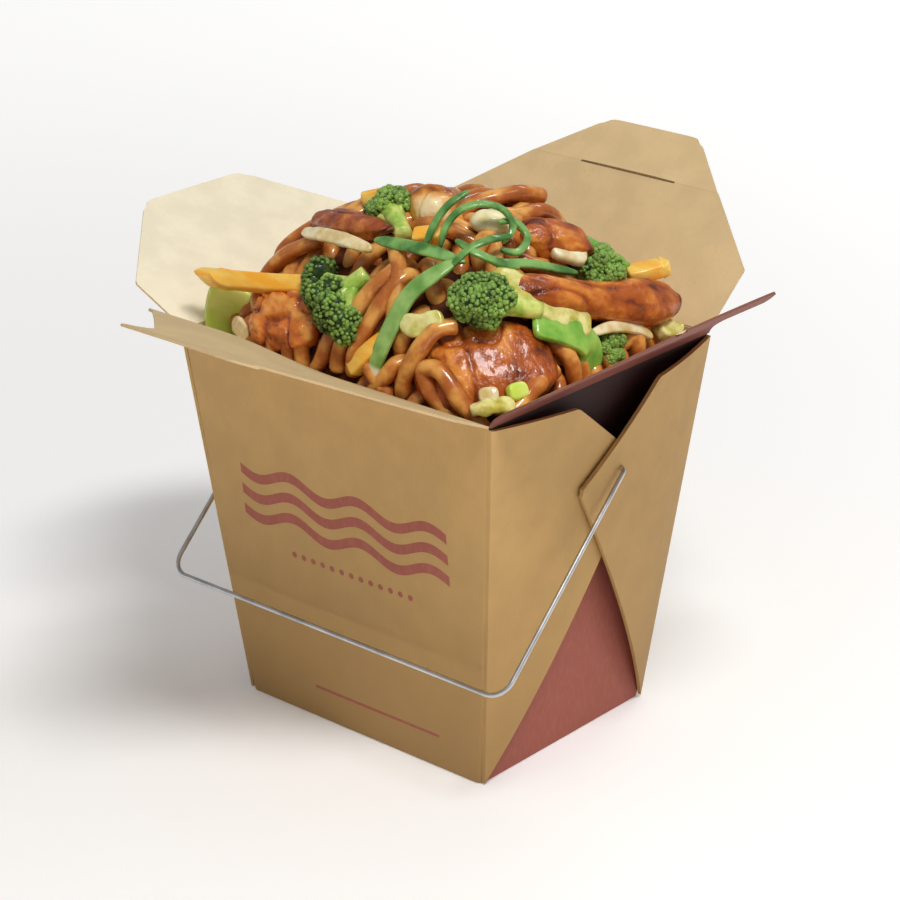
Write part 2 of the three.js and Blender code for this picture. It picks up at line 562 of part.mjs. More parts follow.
// Strands that wander over the rest of the heap, one from each cell of a loose grid.
function fillStrands() {
  const random = randomStream(11);
  const columns = 5;
  const rows = FILL_STRANDS / columns;
  const strands = [];
  for (let k = 0; k < FILL_STRANDS; k++) {
    let x = mix(-40, 40, ((k % columns) + 0.2 + 0.6 * random()) / columns);
    let y = mix(-30, 36, (Math.floor(k / columns) + 0.2 + 0.6 * random()) / rows);
    let heading = random() * 2 * Math.PI;
    const bend = (random() - 0.5) * 0.9;
    const points = [];
    for (let i = 0; i < 6; i++) {
      const rise = 0.6 * random();
      points.push([THREE.MathUtils.clamp(x, -47.5, 47.5), THREE.MathUtils.clamp(y, -39.5, 39.5), rise]);
      x += 8 * Math.cos(heading);
      y += 8 * Math.sin(heading);
      heading += bend;
    }
    strands.push(points);
  }
  return strands;
}

// ---- Fitting the food ---------------------------------------------------------------------

const wallGuard = pailBlock(-GAP, -1, PAIL.height + GAP).subtract(
  pailBlock(PAIL.board + GAP, PAIL.board + GAP, PAIL.height + 1));

function fitToppings() {
  const core = heapCore(0);
  const coreGuard = heapCore(GAP);
  const placed = [];
  for (const [name, finish, make] of TOPPINGS) {
    let solid = make(0).subtract(coreGuard).subtract(wallGuard);
    for (const other of placed) {
      solid = solid.subtract(other.guard);
    }
    placed.push({ name, finish, solid: largestPiece(solid), guard: make(GAP).subtract(core) });
  }
  return placed;
}

// Strands join the core where they lie clear of the toppings. A filling strand that would lose
// much of itself to them is left out.
function fitNoodles(toppings) {
  const guards = wasm.Manifold.union(toppings.map((topping) => topping.guard));
  const shown = SHOWN_STRANDS.map((points) => strandSolid(points, 6, 8));
  const filling = fillStrands().map((points) => strandSolid(points, 5, 6))
    .filter((strand) => strand.intersect(guards).volume() < MOST_LOST * strand.volume());
  const strands = wasm.Manifold.union([...shown, ...filling]).subtract(guards);
  return largestPiece(heapCore(0).add(strands).subtract(wallGuard));
}

// ---- The assembled object -------------------------------------------------------------------

const takeawayBox = new THREE.Group();

function addPiece(parent, name, solid, finish) {
  const mesh = new THREE.Mesh(geometryOf(solid), FINISH[finish]);
  mesh.name = name;
  parent.add(mesh);
  return mesh;
}

addPiece(takeawayBox, 'carton', makeCarton(), 'kraft');

// Each flap hangs on its crease: turned to face its own side, then raised to its rest angle.
const FLAPS = [
  ['flap_front', V(0, -PAIL.topY / 2, PAIL.height), 180, makeFlap(FRONT_FLAP), FLAP_ANGLE.front],
  ['flap_back', V(0, PAIL.topY / 2, PAIL.height), 0, makeFlap(BACK_FLAP, SLIT), FLAP_ANGLE.back],
  ['flap_left', V(-PAIL.topX / 2, 0, PAIL.height), 90, makeFlap(LEFT_FLAP), FLAP_ANGLE.left],
  ['flap_right', V(PAIL.topX / 2, 0, PAIL.height), -90, makeFlap(RIGHT_FLAP), FLAP_ANGLE.right],
];
for (const [name, hinge, facing, solid, angle] of FLAPS) {
  const crease = new THREE.Group();
  crease.position.copy(hinge);
  crease.rotation.z = radians(facing);
  takeawayBox.add(crease);
  addPiece(crease, name, solid, 'kraft').rotation.x = radians(angle);
}

addPiece(takeawayBox, 'handle', makeHandle(), 'wire');

const toppings = fitToppings();
addPiece(takeawayBox, 'noodles', fitNoodles(toppings), 'noodle');
for (const topping of toppings) {
  addPiece(takeawayBox, topping.name, topping.solid, topping.finish);
}

export default takeawayBox;
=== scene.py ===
# %% [markdown]
# An open noodle takeaway box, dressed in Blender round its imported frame. The frame holds the
# solids and the joints: a folded board pail, four flaps, a wire handle and the heaped food.
# Here each of them gets its real surface. Shapes are worked out with numpy in millimetres, on
# the same named sizes as the solids, and turned into metres when a mesh is made.

from itertools import islice

import bpy
import numpy as np
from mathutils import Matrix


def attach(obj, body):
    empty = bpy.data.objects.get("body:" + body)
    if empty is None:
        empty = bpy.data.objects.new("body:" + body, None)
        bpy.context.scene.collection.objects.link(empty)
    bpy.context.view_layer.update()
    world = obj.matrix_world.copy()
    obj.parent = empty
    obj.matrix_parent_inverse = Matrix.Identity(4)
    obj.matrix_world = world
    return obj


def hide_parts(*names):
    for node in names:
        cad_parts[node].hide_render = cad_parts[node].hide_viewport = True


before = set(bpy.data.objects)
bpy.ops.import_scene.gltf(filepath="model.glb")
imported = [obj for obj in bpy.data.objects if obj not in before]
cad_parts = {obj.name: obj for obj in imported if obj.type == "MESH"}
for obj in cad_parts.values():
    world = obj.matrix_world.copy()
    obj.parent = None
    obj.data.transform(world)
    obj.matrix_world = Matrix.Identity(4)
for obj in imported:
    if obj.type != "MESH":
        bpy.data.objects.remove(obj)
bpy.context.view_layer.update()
MM = 0.001

# %% [markdown]
# The camera stands to the right of the front corner and a little above the rim, and looks at the
# middle of the object. It is placed on its line of sight: azimuth and elevation give the
# direction, and the distance sets how strongly the box's edges converge.

# %% Camera
AZIMUTH, ELEVATION = np.radians([40.95, 22.44])
LENS_MM, SENSOR_MM = 114.2, 36.0
CAMERA_MM = (461.3, -529.7, 362.3)

camera_data = bpy.data.cameras.new("camera")
camera_data.lens = LENS_MM
camera_data.sensor_width = SENSOR_MM
camera_data.clip_end = 50.0
camera = bpy.data.objects.new("camera", camera_data)
camera.location = [c * MM for c in CAMERA_MM]
camera.rotation_euler = (np.pi / 2 - ELEVATION, 0.0, AZIMUTH)
bpy.context.scene.collection.objects.link(camera)
bpy.context.scene.camera = camera

# %% [markdown]
# These are the box's driving sizes. The pail is a cut-off pyramid of thin board, and the heap of
# food is a squarish dome that springs from its rim.

# %% Driving sizes
HEIGHT, TOP_X, TOP_Y, BASE_X, BASE_Y, BOARD = 106.0, 105.3, 88.9, 82.6, 67.1, 0.6
HEAP_X, HEAP_Y, HEAP_RISE, HEAP_SQUARE, HEAP_FALL, HEAP_CROWN = 52.0, 43.5, 38.0, 4.0, 2.2, 0.8
NOODLE_RADIUS = 2.3


def mix(a, b, t):
    """The value t of the way from a to b."""
    return a + (b - a) * t


def smooth_step(low, high, value):
    """0 below low, 1 above high, and the curve 3t^2 - 2t^3 between them."""
    t = np.clip((value - low) / (high - low), 0.0, 1.0)
    return t * t * (3 - 2 * t)


def unit(v):
    """Each vector divided by its length."""
    return v / np.maximum(np.linalg.norm(v, axis=-1, keepdims=True), 1e-9)


def heap_distance(x, y):
    """The superelliptic distance (|x/X|^4 + |y/Y|^4)^(1/4) from the heap's middle: 1 at its foot."""
    return ((np.abs(x) / HEAP_X) ** HEAP_SQUARE + (np.abs(y) / HEAP_Y) ** HEAP_SQUARE) ** (1 / HEAP_SQUARE)


def heap_outline(angle):
    """The heap's foot, as points at these angles."""
    c, s = np.cos(angle), np.sin(angle)
    round_corner = np.column_stack([np.sign(c) * np.sqrt(np.abs(c)), np.sign(s) * np.sqrt(np.abs(s))])
    return round_corner * (HEAP_X, HEAP_Y)


def heap_top(x, y):
    """Height of the food: the rim plus rise * (1 - r^fall)^crown, with r the heap's distance."""
    return HEIGHT + HEAP_RISE * np.maximum(0.0, 1 - heap_distance(x, y) ** HEAP_FALL) ** HEAP_CROWN


def heap_normal(p):
    """Upward normal of the heap below each point, from the slopes over a step each way."""
    step = 1.5
    x = np.clip(p[..., 0], -46, 46)
    y = np.clip(p[..., 1], -38, 38)
    dx = (heap_top(x + step, y) - heap_top(x - step, y)) / (2 * step)
    dy = (heap_top(x, y + step) - heap_top(x, y - step)) / (2 * step)
    return unit(np.stack([-dx, -dy, np.ones_like(dx)], -1))

# %% [markdown]
# Real surfaces are uneven at several scales. One small noise function serves them all: random
# values on the corners of a cubic lattice, blended smoothly inside each cube, and summed over
# octaves that halve in size and strength.

# %% Noise
def lattice_value(cell, seed):
    """A repeatable value in -1..1 for each integer cell, by integer hashing."""
    n = cell[..., 0] * 374761393 + cell[..., 1] * 668265263 + cell[..., 2] * 1274126177 + seed * 974634777
    n = (n ^ (n >> 13)) * 1103515245 & 0x7FFFFFFF
    n = (n ^ (n >> 16)) * 1664525 & 0x7FFFFFFF
    return n / 0x3FFFFFFF - 1.0


def noise(points, size, seed, octaves=1):
    """Smooth value noise, whose bumps are about `size` across."""
    total = np.zeros(points.shape[:-1])
    strength = 1.0
    for octave in range(octaves):
        p = points / size * 2**octave + 37.7 * seed
        cell = np.floor(p).astype(np.int64)
        f = p - cell
        f = f * f * (3 - 2 * f)
        for corner in np.ndindex(2, 2, 2):
            weight = np.prod(np.where(np.array(corner), f, 1 - f), axis=-1)
            total += strength * weight * lattice_value(cell + corner, seed + octave)
        strength *= 0.5
    return total

# %% [markdown]
# Every piece is built from a few kinds of grid: a tube along a path, a plate with two faces, and
# a ball. A part is a pair of points in millimetres and lists of faces, all made as arrays.

# %% Grids
def grid_faces(rows, columns, closed=False):
    """Quads between neighbouring points of a grid. A closed grid also joins its last column to
    its first."""
    r = np.arange(rows - 1)[:, None] * columns
    c = np.arange(columns if closed else columns - 1)
    d = (c + 1) % columns
    return np.stack([r + c, r + d, r + columns + d, r + columns + c], -1).reshape(-1, 4)


def tube(rings):
    """A closed skin over a stack of rings (rows, around, 3), with a fan of triangles over each
    end. Rings run counter-clockwise seen from the last."""
    rows, around, _ = rings.shape
    verts = np.concatenate([rings.reshape(-1, 3), [rings[0].mean(0), rings[-1].mean(0)]])
    i = np.arange(around)
    j = (i + 1) % around
    last = (rows - 1) * around
    ends = np.concatenate([
        np.stack([np.full(around, rows * around), j, i], -1),
        np.stack([np.full(around, rows * around + 1), last + i, last + j], -1)])
    return verts, [grid_faces(rows, around, closed=True), ends]


def plate(middle, normal, thickness):
    """A closed plate: the grid `middle` moved half the thickness to each side along `normal`,
    with a strip of quads round the rim."""
    rows, columns, _ = middle.shape
    half = normal * (np.asarray(thickness)[..., None] if np.ndim(thickness) else thickness) / 2
    verts = np.concatenate([(middle + half).reshape(-1, 3), (middle - half).reshape(-1, 3)])
    top = grid_faces(rows, columns)
    index = np.arange(rows * columns).reshape(rows, columns)
    rim = np.concatenate([index[0], index[1:, -1], index[-1, -2::-1], index[-2:0:-1, 0]])
    nxt = np.roll(rim, -1)
    count = rows * columns
    sides = np.stack([nxt, rim, rim + count, nxt + count], -1)
    return verts, [top, top[:, ::-1] + count, sides]


def face_count(part):
    """How many faces a part has."""
    return sum(len(f) for f in part[1])


def joined(parts):
    """Several (verts, faces) parts as one."""
    verts = []
    faces = []
    start = 0
    for part_verts, part_faces in parts:
        verts.append(part_verts)
        faces += [f + start for f in part_faces]
        start += len(part_verts)
    return np.concatenate(verts), faces


def ball(n):
    """Directions and quads of a ball: six n by n faces of a cube pushed out to the sphere and
    welded along the cube's edges, so that no poles pinch."""
    a = np.tan(np.linspace(-np.pi / 4, np.pi / 4, n + 1))
    u, v = np.meshgrid(a, a, indexing="ij")
    one = np.ones_like(u)
    sides = [np.stack(s, -1) for s in (
        (one, u, v), (-one, v, u), (v, one, u), (u, -one, v), (u, v, one), (v, u, -one))]
    verts = unit(np.concatenate([s.reshape(-1, 3) for s in sides]))
    quads = grid_faces(n + 1, n + 1)
    faces = np.concatenate([quads + k * (n + 1) ** 2 for k in range(6)])
    _, first, back = np.unique(np.round(verts * 1e5).astype(int), axis=0, return_index=True,
                               return_inverse=True)
    return verts[first], back.ravel()[faces]

# %% [markdown]
# Noodles, wire, stems and strips are all one section carried along a path. A path is a smooth
# curve through a few listed points, so that each piece goes where it lies on the real food.

# %% Paths and sections
def smooth_path(points, count):
    """A curve through the points: cubic pieces whose slopes follow the chords on either side."""
    p = np.asarray(points, float)
    if len(p) == 2:
        p = np.array([p[0], p.mean(0), p[1]])
    t = np.concatenate([[0], np.cumsum(np.sqrt(np.linalg.norm(np.diff(p, axis=0), axis=1)))])
    slope = np.gradient(p, t, axis=0)
    s = np.linspace(0, t[-1], count)
    k = np.clip(np.searchsorted(t, s, side="right") - 1, 0, len(p) - 2)
    h = (t[k + 1] - t[k])[:, None]
    u = (s[:, None] - t[k][:, None]) / h
    return ((2 * u**3 - 3 * u**2 + 1) * p[k] + (u**3 - 2 * u**2 + u) * h * slope[k]
            + (3 * u**2 - 2 * u**3) * p[k + 1] + (u**3 - u**2) * h * slope[k + 1])


def swept_rings(path, up, section):
    """Rings of a section (rows, around, 2) carried along a path. The second number of the
    section points along `up`, squared to the path."""
    tangent = unit(np.gradient(path, axis=0))
    side = unit(np.cross(up, tangent))
    up = np.cross(tangent, side)
    return path[:, None] + section[..., :1] * side[:, None] + section[..., 1:] * up[:, None]


def oval(half_side, half_up, around, square=1.0):
    """Sections (rows, around, 2) of half sizes that may change along the rows. A power below 1
    squares the oval's corners."""
    angle = np.linspace(0, 2 * np.pi, around, endpoint=False)
    c, s = np.cos(angle), np.sin(angle)
    shape = np.stack([np.sign(c) * np.abs(c) ** square, np.sign(s) * np.abs(s) ** square], -1)
    return np.stack([np.asarray(half_side), np.asarray(half_up)], -1)[:, None] * shape

# %% [markdown]
# A part becomes an object at the origin, unturned, that rides on a body of the frame and takes
# the place of its solid. Smooth shading suits food. Board and its cut edges need creases.

# %% Mesh objects
def make_piece(name, part, body, materials, stands_for=(), paint=None, tone=None, sharp=None):
    """One mesh object from (verts in mm, faces), riding on a body. `paint` gives each face its
    material's number, and `tone` a number for each vertex that its material may read. Edges that
    fold by more than `sharp` degrees are shaded as edges, as cut board needs."""
    verts, faces = part
    mesh = bpy.data.meshes.new(name)
    mesh.vertices.add(len(verts))
    mesh.vertices.foreach_set("co", (verts * MM).astype(np.float32).ravel())
    corners = np.concatenate([f.ravel() for f in faces])
    sizes = np.concatenate([np.full(len(f), f.shape[1]) for f in faces])
    mesh.loops.add(len(corners))
    mesh.loops.foreach_set("vertex_index", corners.astype(np.int32))
    mesh.polygons.add(len(sizes))
    mesh.polygons.foreach_set("loop_start", (np.cumsum(sizes) - sizes).astype(np.int32))
    mesh.polygons.foreach_set("use_smooth", np.full(len(sizes), True))
    for material in materials:
        mesh.materials.append(material)
    if paint is not None:
        mesh.polygons.foreach_set("material_index", paint.astype(np.int32))
    if tone is not None:
        mesh.attributes.new("tone", "FLOAT", "POINT").data.foreach_set("value", tone.astype(np.float32))
    mesh.update(calc_edges=True)
    if sharp:
        mesh.set_sharp_from_angle(angle=np.radians(sharp))
    piece = bpy.data.objects.new(name, mesh)
    bpy.context.scene.collection.objects.link(piece)
    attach(piece, body)
    if stands_for:
        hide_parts(*stands_for)
    return piece

# %% [markdown]
# Materials are node graphs, and most of their nodes are plain arithmetic. A small class wraps a
# node's output so that this arithmetic can be written as ordinary expressions.

# %% Shader expressions
class Wire:
    """A node's output that can be added, multiplied and compared like a number."""

    def __init__(self, recipe, socket):
        self.recipe = recipe
        self.socket = socket

    def math(self, operation, *others):
        """The result of one Math node on this value and the others."""
        sockets = dict(enumerate((self, *others)))
        return self.recipe.node("ShaderNodeMath", {"operation": operation}, sockets)

    def __add__(self, other):
        return self.math("ADD", other)

    def __sub__(self, other):
        return self.math("SUBTRACT", other)

    def __rsub__(self, other):
        return self.recipe.node("ShaderNodeMath", {"operation": "SUBTRACT"}, {0: other, 1: self})

    def __mul__(self, other):
        return self.math("MULTIPLY", other)

    def __lt__(self, other):
        return self.math("LESS_THAN", other)

    def __gt__(self, other):
        return self.math("GREATER_THAN", other)

    def __abs__(self):
        return self.math("ABSOLUTE")

    __radd__ = __add__
    __rmul__ = __mul__

    def ramp(self, low, high):
        """0 to 1 as this value goes from low to high, in a smooth curve."""
        return self.recipe.node(
            "ShaderNodeMapRange", {"interpolation_type": "SMOOTHSTEP"},
            {"Value": self, "From Min": low, "From Max": high})


class Recipe:
    """One material under construction."""

    def __init__(self, name):
        self.material = bpy.data.materials.new(name)
        self.material.use_nodes = True
        self.tree = self.material.node_tree
        self.tree.nodes.clear()
        self.place = self.node("ShaderNodeTexCoord", out="Object")

    def node(self, kind, settings=None, sockets=None, out=0):
        """A node of this kind, its settings made first and then its sockets set or linked."""
        made = self.tree.nodes.new(kind)
        for key, value in (settings or {}).items():
            setattr(made, key, value)
        for key, value in (sockets or {}).items():
            if isinstance(value, Wire):
                self.tree.links.new(value.socket, made.inputs[key])
            else:
                made.inputs[key].default_value = value
        return Wire(self, made.outputs[out])

    def axes(self):
        """The object's x, y and z in millimetres."""
        split = self.node("ShaderNodeSeparateXYZ", sockets={0: self.place}).socket.node
        return [Wire(self, split.outputs[k]) * (1 / MM) for k in range(3)]

    def grain(self, size, detail=3.0, stretch=(1, 1, 1)):
        """Noise in 0..1 whose grains are about `size` millimetres across."""
        where = self.node("ShaderNodeMapping", sockets={0: self.place, "Scale": stretch})
        return self.node("ShaderNodeTexNoise", sockets={
            "Vector": where, "Scale": 1 / (size * MM), "Detail": detail})

    def cells(self, size):
        """Distance to the nearest of many scattered points, about `size` millimetres apart."""
        return self.node("ShaderNodeTexVoronoi", sockets={
            "Vector": self.place, "Scale": 1 / (size * MM)})

    def tone(self):
        """The number that the mesh carries at each vertex."""
        return self.node("ShaderNodeAttribute", {"attribute_name": "tone"}, out="Fac")

    def blend(self, amount, first, second):
        """Two colours blended."""
        return self.node("ShaderNodeMix", {"data_type": "RGBA"},
                         {0: amount, 6: first, 7: second}, out=2)

    def bumps(self, height, depth):
        """A normal bent by a height map whose full range is `depth` millimetres."""
        return self.node("ShaderNodeBump", sockets={
            "Height": height, "Distance": depth * MM, "Strength": 1.0})

    def finish(self, **sockets):
        """The surface shader with its sockets named in words, joined to the output."""
        named = {key.replace("_", " ").title().replace("Ior", "IOR"): v for key, v in sockets.items()}
        shader = self.node("ShaderNodeBsdfPrincipled", sockets=named)
        out = self.tree.nodes.new("ShaderNodeOutputMaterial")
        self.tree.links.new(shader.socket, out.inputs["Surface"])
        return self.material


def colour(red, green, blue):
    """A screen colour, 0 to 255 for each part, as the linear colour that a shader takes."""
    c = np.array([red, green, blue]) / 255
    linear = np.where(c <= 0.04045, c / 12.92, ((c + 0.055) / 1.055) ** 2.4)
    return (*linear.tolist(), 1.0)

# %% [markdown]
# The board is unbleached kraft: mottled over a centimetre, streaked by fibres and flecked with
# bark. Its two sides differ, because the inside is a paler, cleaner sheet. The outside may carry
# print, a flat field of colour that the fibres show through. One function makes every sheet, so
# the flaps differ only in their base colours, which are painted light and shade: the same inside
# board is painted paler on the left flap and darker on the front one, for the way each faces the
# light. Painted shade also darkens the walls and gussets towards their foot.

# %% Board
KRAFT_OUT = colour(197, 157, 96)
KRAFT_IN = colour(222, 192, 142)
# Painted light and shade: the inside board, painted paler for the left flap's top and darker for the front
# flap's top.
KRAFT_PAINTED_LIT = colour(250, 238, 208)
KRAFT_PAINTED_SHADE = colour(206, 180, 134)
KRAFT_EDGE = colour(206, 176, 130)
MAROON = colour(160, 84, 68)
MAROON_WORN = colour(188, 122, 98)
MAROON_EDGE = colour(128, 80, 62)
BARK = colour(120, 84, 48)
# Painted shade, nearly black, for where no light reaches.
DEEP_SHADE = colour(44, 12, 6)
BOARD_ROUGHNESS = 0.72
# Painted shade towards the foot: factors that darken and brown the board, more the lower it is.
FOOT_SHADE = (0.62, 0.58, 0.52)
FOOT_SHADE_FROM, FOOT_SHADE_TO = 112.0, -30.0


def scaled(base, factors):
    """A colour with each part multiplied, and none above full."""
    return (*(min(1.0, c * k) for c, k in zip(base[:3], factors)), 1.0)


def board(name, base, print_mask=None, all_print=False, shade_mask=None, low_shade=0.0):
    """Kraft board of one base colour, with print where the mask says, and painted shade, nearly
    black, where the shade mask says. The last argument is how much painted shade darkens and
    browns the board towards its foot."""
    r = Recipe(name)
    mottle = r.grain(9, detail=2)
    fibre = r.grain(1.1, detail=4, stretch=(1, 1, 0.35))
    fleck = r.cells(3.4)
    darker = scaled(base, (0.86, 0.86, 0.86))
    lighter = scaled(base, (1.06, 1.06, 1.06))
    tint = r.blend(mottle.ramp(0.3, 0.7), darker, lighter)
    tint = r.blend(0.55, tint, base)
    tint = r.blend(fibre.ramp(0.35, 0.75) * 0.16, tint, darker)
    tint = r.blend((1 - fleck.ramp(0.02, 0.09)) * 0.22, tint, BARK)
    # Painted shade: darker and browner towards the foot.
    if low_shade:
        lowness = 1 - r.axes()[2].ramp(FOOT_SHADE_TO, FOOT_SHADE_FROM)
        tint = r.blend(lowness * low_shade, tint, scaled(base, FOOT_SHADE))
    if all_print or print_mask is not None:
        ink = r.blend(fibre.ramp(0.4, 0.8) * 0.22, MAROON, MAROON_WORN)
        tint = r.blend(1.0 if all_print else print_mask(r), tint, ink)
    # Painted shade, nearly black, where the mask says.
    if shade_mask is not None:
        tint = r.blend(shade_mask(r), tint, DEEP_SHADE)
    surface = r.bumps(fibre + r.grain(0.35, detail=2) * 0.5, 0.05)
    return r.finish(base_color=tint, roughness=BOARD_ROUGHNESS, normal=surface)

# %% [markdown]
# The front wall's print is a plain motif of three waves, a row of dots and a thin rule, and the
# side walls are flat maroon. Both are masks made from the object's own coordinates, so the print
# stays on the outer face of the wall that it belongs to. Two more masks stand for deep shade: on
# the side walls under the flaps, and in the slit of the back flap.

# %% Print masks
WAVE = dict(lines=3, first=70.5, pitch=6.0, swing=1.8, length=24.0, half_width=36.0, stroke=1.45)
DOTS = dict(height=49.5, left=-20.4, right=23.8, pitch=3.4, radius=0.85)
RULE = dict(height=10.0, left=-16.0, right=28.0, stroke=0.45)
FACE_DEPTH = 0.3
EDGE_CLEAR = 1.4
LEAN_X = (TOP_X - BASE_X) / 2 / HEIGHT
LEAN_Y = (TOP_Y - BASE_Y) / 2 / HEIGHT
SHADE_FROM, SHADE_FULL = 76.0, 88.0
SLIT_SHADE = dict(half=0.3, strength=0.8)


def within(value, low, high):
    """1 where the value is less than half the range from the middle of low and high."""
    return abs(value - (low + high) / 2) < (high - low) / 2


def on_side_walls(x, z):
    """1 on the outer faces of the two side walls."""
    return (abs(x) - z * LEAN_X) > (BASE_X / 2 - FACE_DEPTH)


def wall_prints(r):
    """Maroon on both side walls' outer faces and on the front wall's waves, dots and rule."""
    x, y, z = r.axes()
    side = on_side_walls(x, z) * ((abs(y) - z * LEAN_Y) < (BASE_Y / 2 - EDGE_CLEAR))
    front = (y * -1 - z * LEAN_Y) > (BASE_Y / 2 - FACE_DEPTH)
    swing = (x * (2 * np.pi / WAVE["length"])).math("SINE") * WAVE["swing"]
    lines = 0.0
    for k in range(WAVE["lines"]):
        off = abs(z - swing - (WAVE["first"] - k * WAVE["pitch"]))
        lines = (off < WAVE["stroke"]) + lines
    lines = lines * (abs(x) < WAVE["half_width"])
    rule = (abs(z - RULE["height"]) < RULE["stroke"]) * within(x, RULE["left"], RULE["right"])
    across = (x * (1 / DOTS["pitch"])).math("FRACT") * DOTS["pitch"] - DOTS["pitch"] / 2
    above = z - DOTS["height"]
    dots = (across * across + above * above) < DOTS["radius"] ** 2
    dots = dots * within(x, DOTS["left"], DOTS["right"])
    return (side + front * (lines + dots + rule)).math("MINIMUM", 1.0)


def under_flap(r):
    """The side walls between the gussets and below the flap, where no light reaches."""
    x, _, z = r.axes()
    return on_side_walls(x, z) * z.ramp(SHADE_FROM, SHADE_FULL)


def slit_shade(r):
    """A dark line in the back flap's cross crease between the slit's ends. The distance from the
    flap's own crease is (y cos a + z sin a), from where the flap is hinged."""
    x, y, z = r.axes()
    a = np.radians(FLAPS["back"]["angle"])
    along = (y - TOP_Y / 2) * float(np.cos(a)) + (z - HEIGHT) * float(np.sin(a))
    near = abs(along - FLAPS["back"]["crease"]) < SLIT_SHADE["half"]
    return near * within(x, SLIT["start"], SLIT["end"]) * SLIT_SHADE["strength"]


def even_painted_shade(r):
    """The same shade everywhere, for a side that faces away from the light."""
    return 0.45


# Painted shade: the walls and gussets darken towards their foot, and the side walls go nearly black under the
# flaps.
board_printed = board("kraft_walls", KRAFT_OUT, print_mask=wall_prints, shade_mask=under_flap,
                      low_shade=0.95)
board_outside = board("kraft_outside", KRAFT_OUT)
board_gusset = board("kraft_gusset", KRAFT_OUT, low_shade=0.75)
board_inside = board("kraft_inside", KRAFT_IN)
board_edge = board("kraft_edge", KRAFT_EDGE)
board_painted_lit = board("kraft_painted_lit", KRAFT_PAINTED_LIT)
board_painted_shade = board("kraft_painted_shade", KRAFT_PAINTED_SHADE)
# The side flaps' maroon undersides, darkened by an even painted shade.
board_maroon = board("kraft_maroon", KRAFT_OUT, all_print=True, shade_mask=even_painted_shade)
board_maroon_edge = board("kraft_maroon_edge", MAROON_EDGE)

# %% [markdown]
# The pail is one shell of board: rings of a rounded rectangle climb the outer walls, turn over
# the rim and go down the inside to the floor. The walls bow out a little between the creases,
# as filled board does.

# %% Pail
WALL_STEPS = 26
BOW = 0.5
CORNER_RADIUS = 0.9
FOOT_RADIUS = 1.8
CREASE_ANGLE = 40
CORNERS = ((1, -1), (1, 1), (-1, 1), (-1, -1))
OUTER_FINISH, INNER_FINISH, EDGE_FINISH, GUSSET_FINISH = range(4)


def pail_ring(z, inset=0.0, shrink=1.0):
    """Points round the pail at height z: four rounded corners joined by slightly bowed sides."""
    t = z / HEIGHT
    half = np.array([mix(BASE_X, TOP_X, t), mix(BASE_Y, TOP_Y, t)]) / 2 - inset
    radius = mix(FOOT_RADIUS, CORNER_RADIUS, min(t * 8, 1.0)) - inset * 0.5
    s = np.linspace(0, 1, 12)[1:-1, None]
    points = []
    for k, here in enumerate(CORNERS):
        angle = np.linspace(0, np.pi / 2, 6) + (k - 1) * np.pi / 2
        direction = np.stack([np.cos(angle), np.sin(angle)], -1)
        out = direction[-1]
        corner = np.array(here) * (half - radius) + radius * direction
        arrive = np.array(CORNERS[(k + 1) % 4]) * (half - radius) + radius * out
        side = mix(corner[-1], arrive, s) + out * BOW * np.sin(np.pi * s) * np.sin(np.pi * t)
        points += [corner, side]
    ring = np.concatenate(points) * shrink
    return np.column_stack([ring, np.full(len(ring), z)])


def make_pail():
    """The rings in order, with the number of the material on each band between two rings."""
    outer = [0.25, 0.8, *np.linspace(2, HEIGHT - 0.1, WALL_STEPS), HEIGHT]
    inner = np.linspace(HEIGHT, BOARD, WALL_STEPS)
    rings = [pail_ring(0.0, 1.0, 0.5), pail_ring(0.0, 0.7)]
    rings += [pail_ring(z, max(0.0, 0.3 - z)) for z in outer]
    rings += [pail_ring(z, BOARD) for z in inner]
    rings.append(pail_ring(BOARD, BOARD, 0.5))
    verts, faces = tube(np.array(rings))
    around = len(rings[0])
    band = np.repeat(np.arange(len(rings) - 1), around)
    rim = len(outer) + 1
    climbing = np.select([band < rim, band == rim], [OUTER_FINISH, EDGE_FINISH], INNER_FINISH)
    return (verts, faces), np.concatenate([climbing, np.full(2 * around, OUTER_FINISH)])

# %% [markdown]
# A gusset is the triangle of board at a corner, doubled over and folded flat against the side
# wall. It springs from the corner's crease and bows off the wall, so its grid is ruled: one set
# of lines runs from the top edge to the lower fold, and they fan together at the apex.

# %% Gussets
GUSSET = dict(ply=1.1, knee=(-15.5, 2.0), apex=(13.6, 25.6), top_s=0.8, lower=4.6, upper=6.3)
WALL_RUN = float(np.hypot(HEIGHT, (TOP_X - BASE_X) / 2))
WALL_DOWN = unit(np.array([(BASE_X - TOP_X) / 2, 0.0, -HEIGHT]))
WALL_OUT = np.array([-WALL_DOWN[2], 0.0, WALL_DOWN[0]])


def half_wall(s):
    """Half the side wall's width at a distance s down from its rim."""
    return mix(TOP_Y, BASE_Y, s / WALL_RUN) / 2


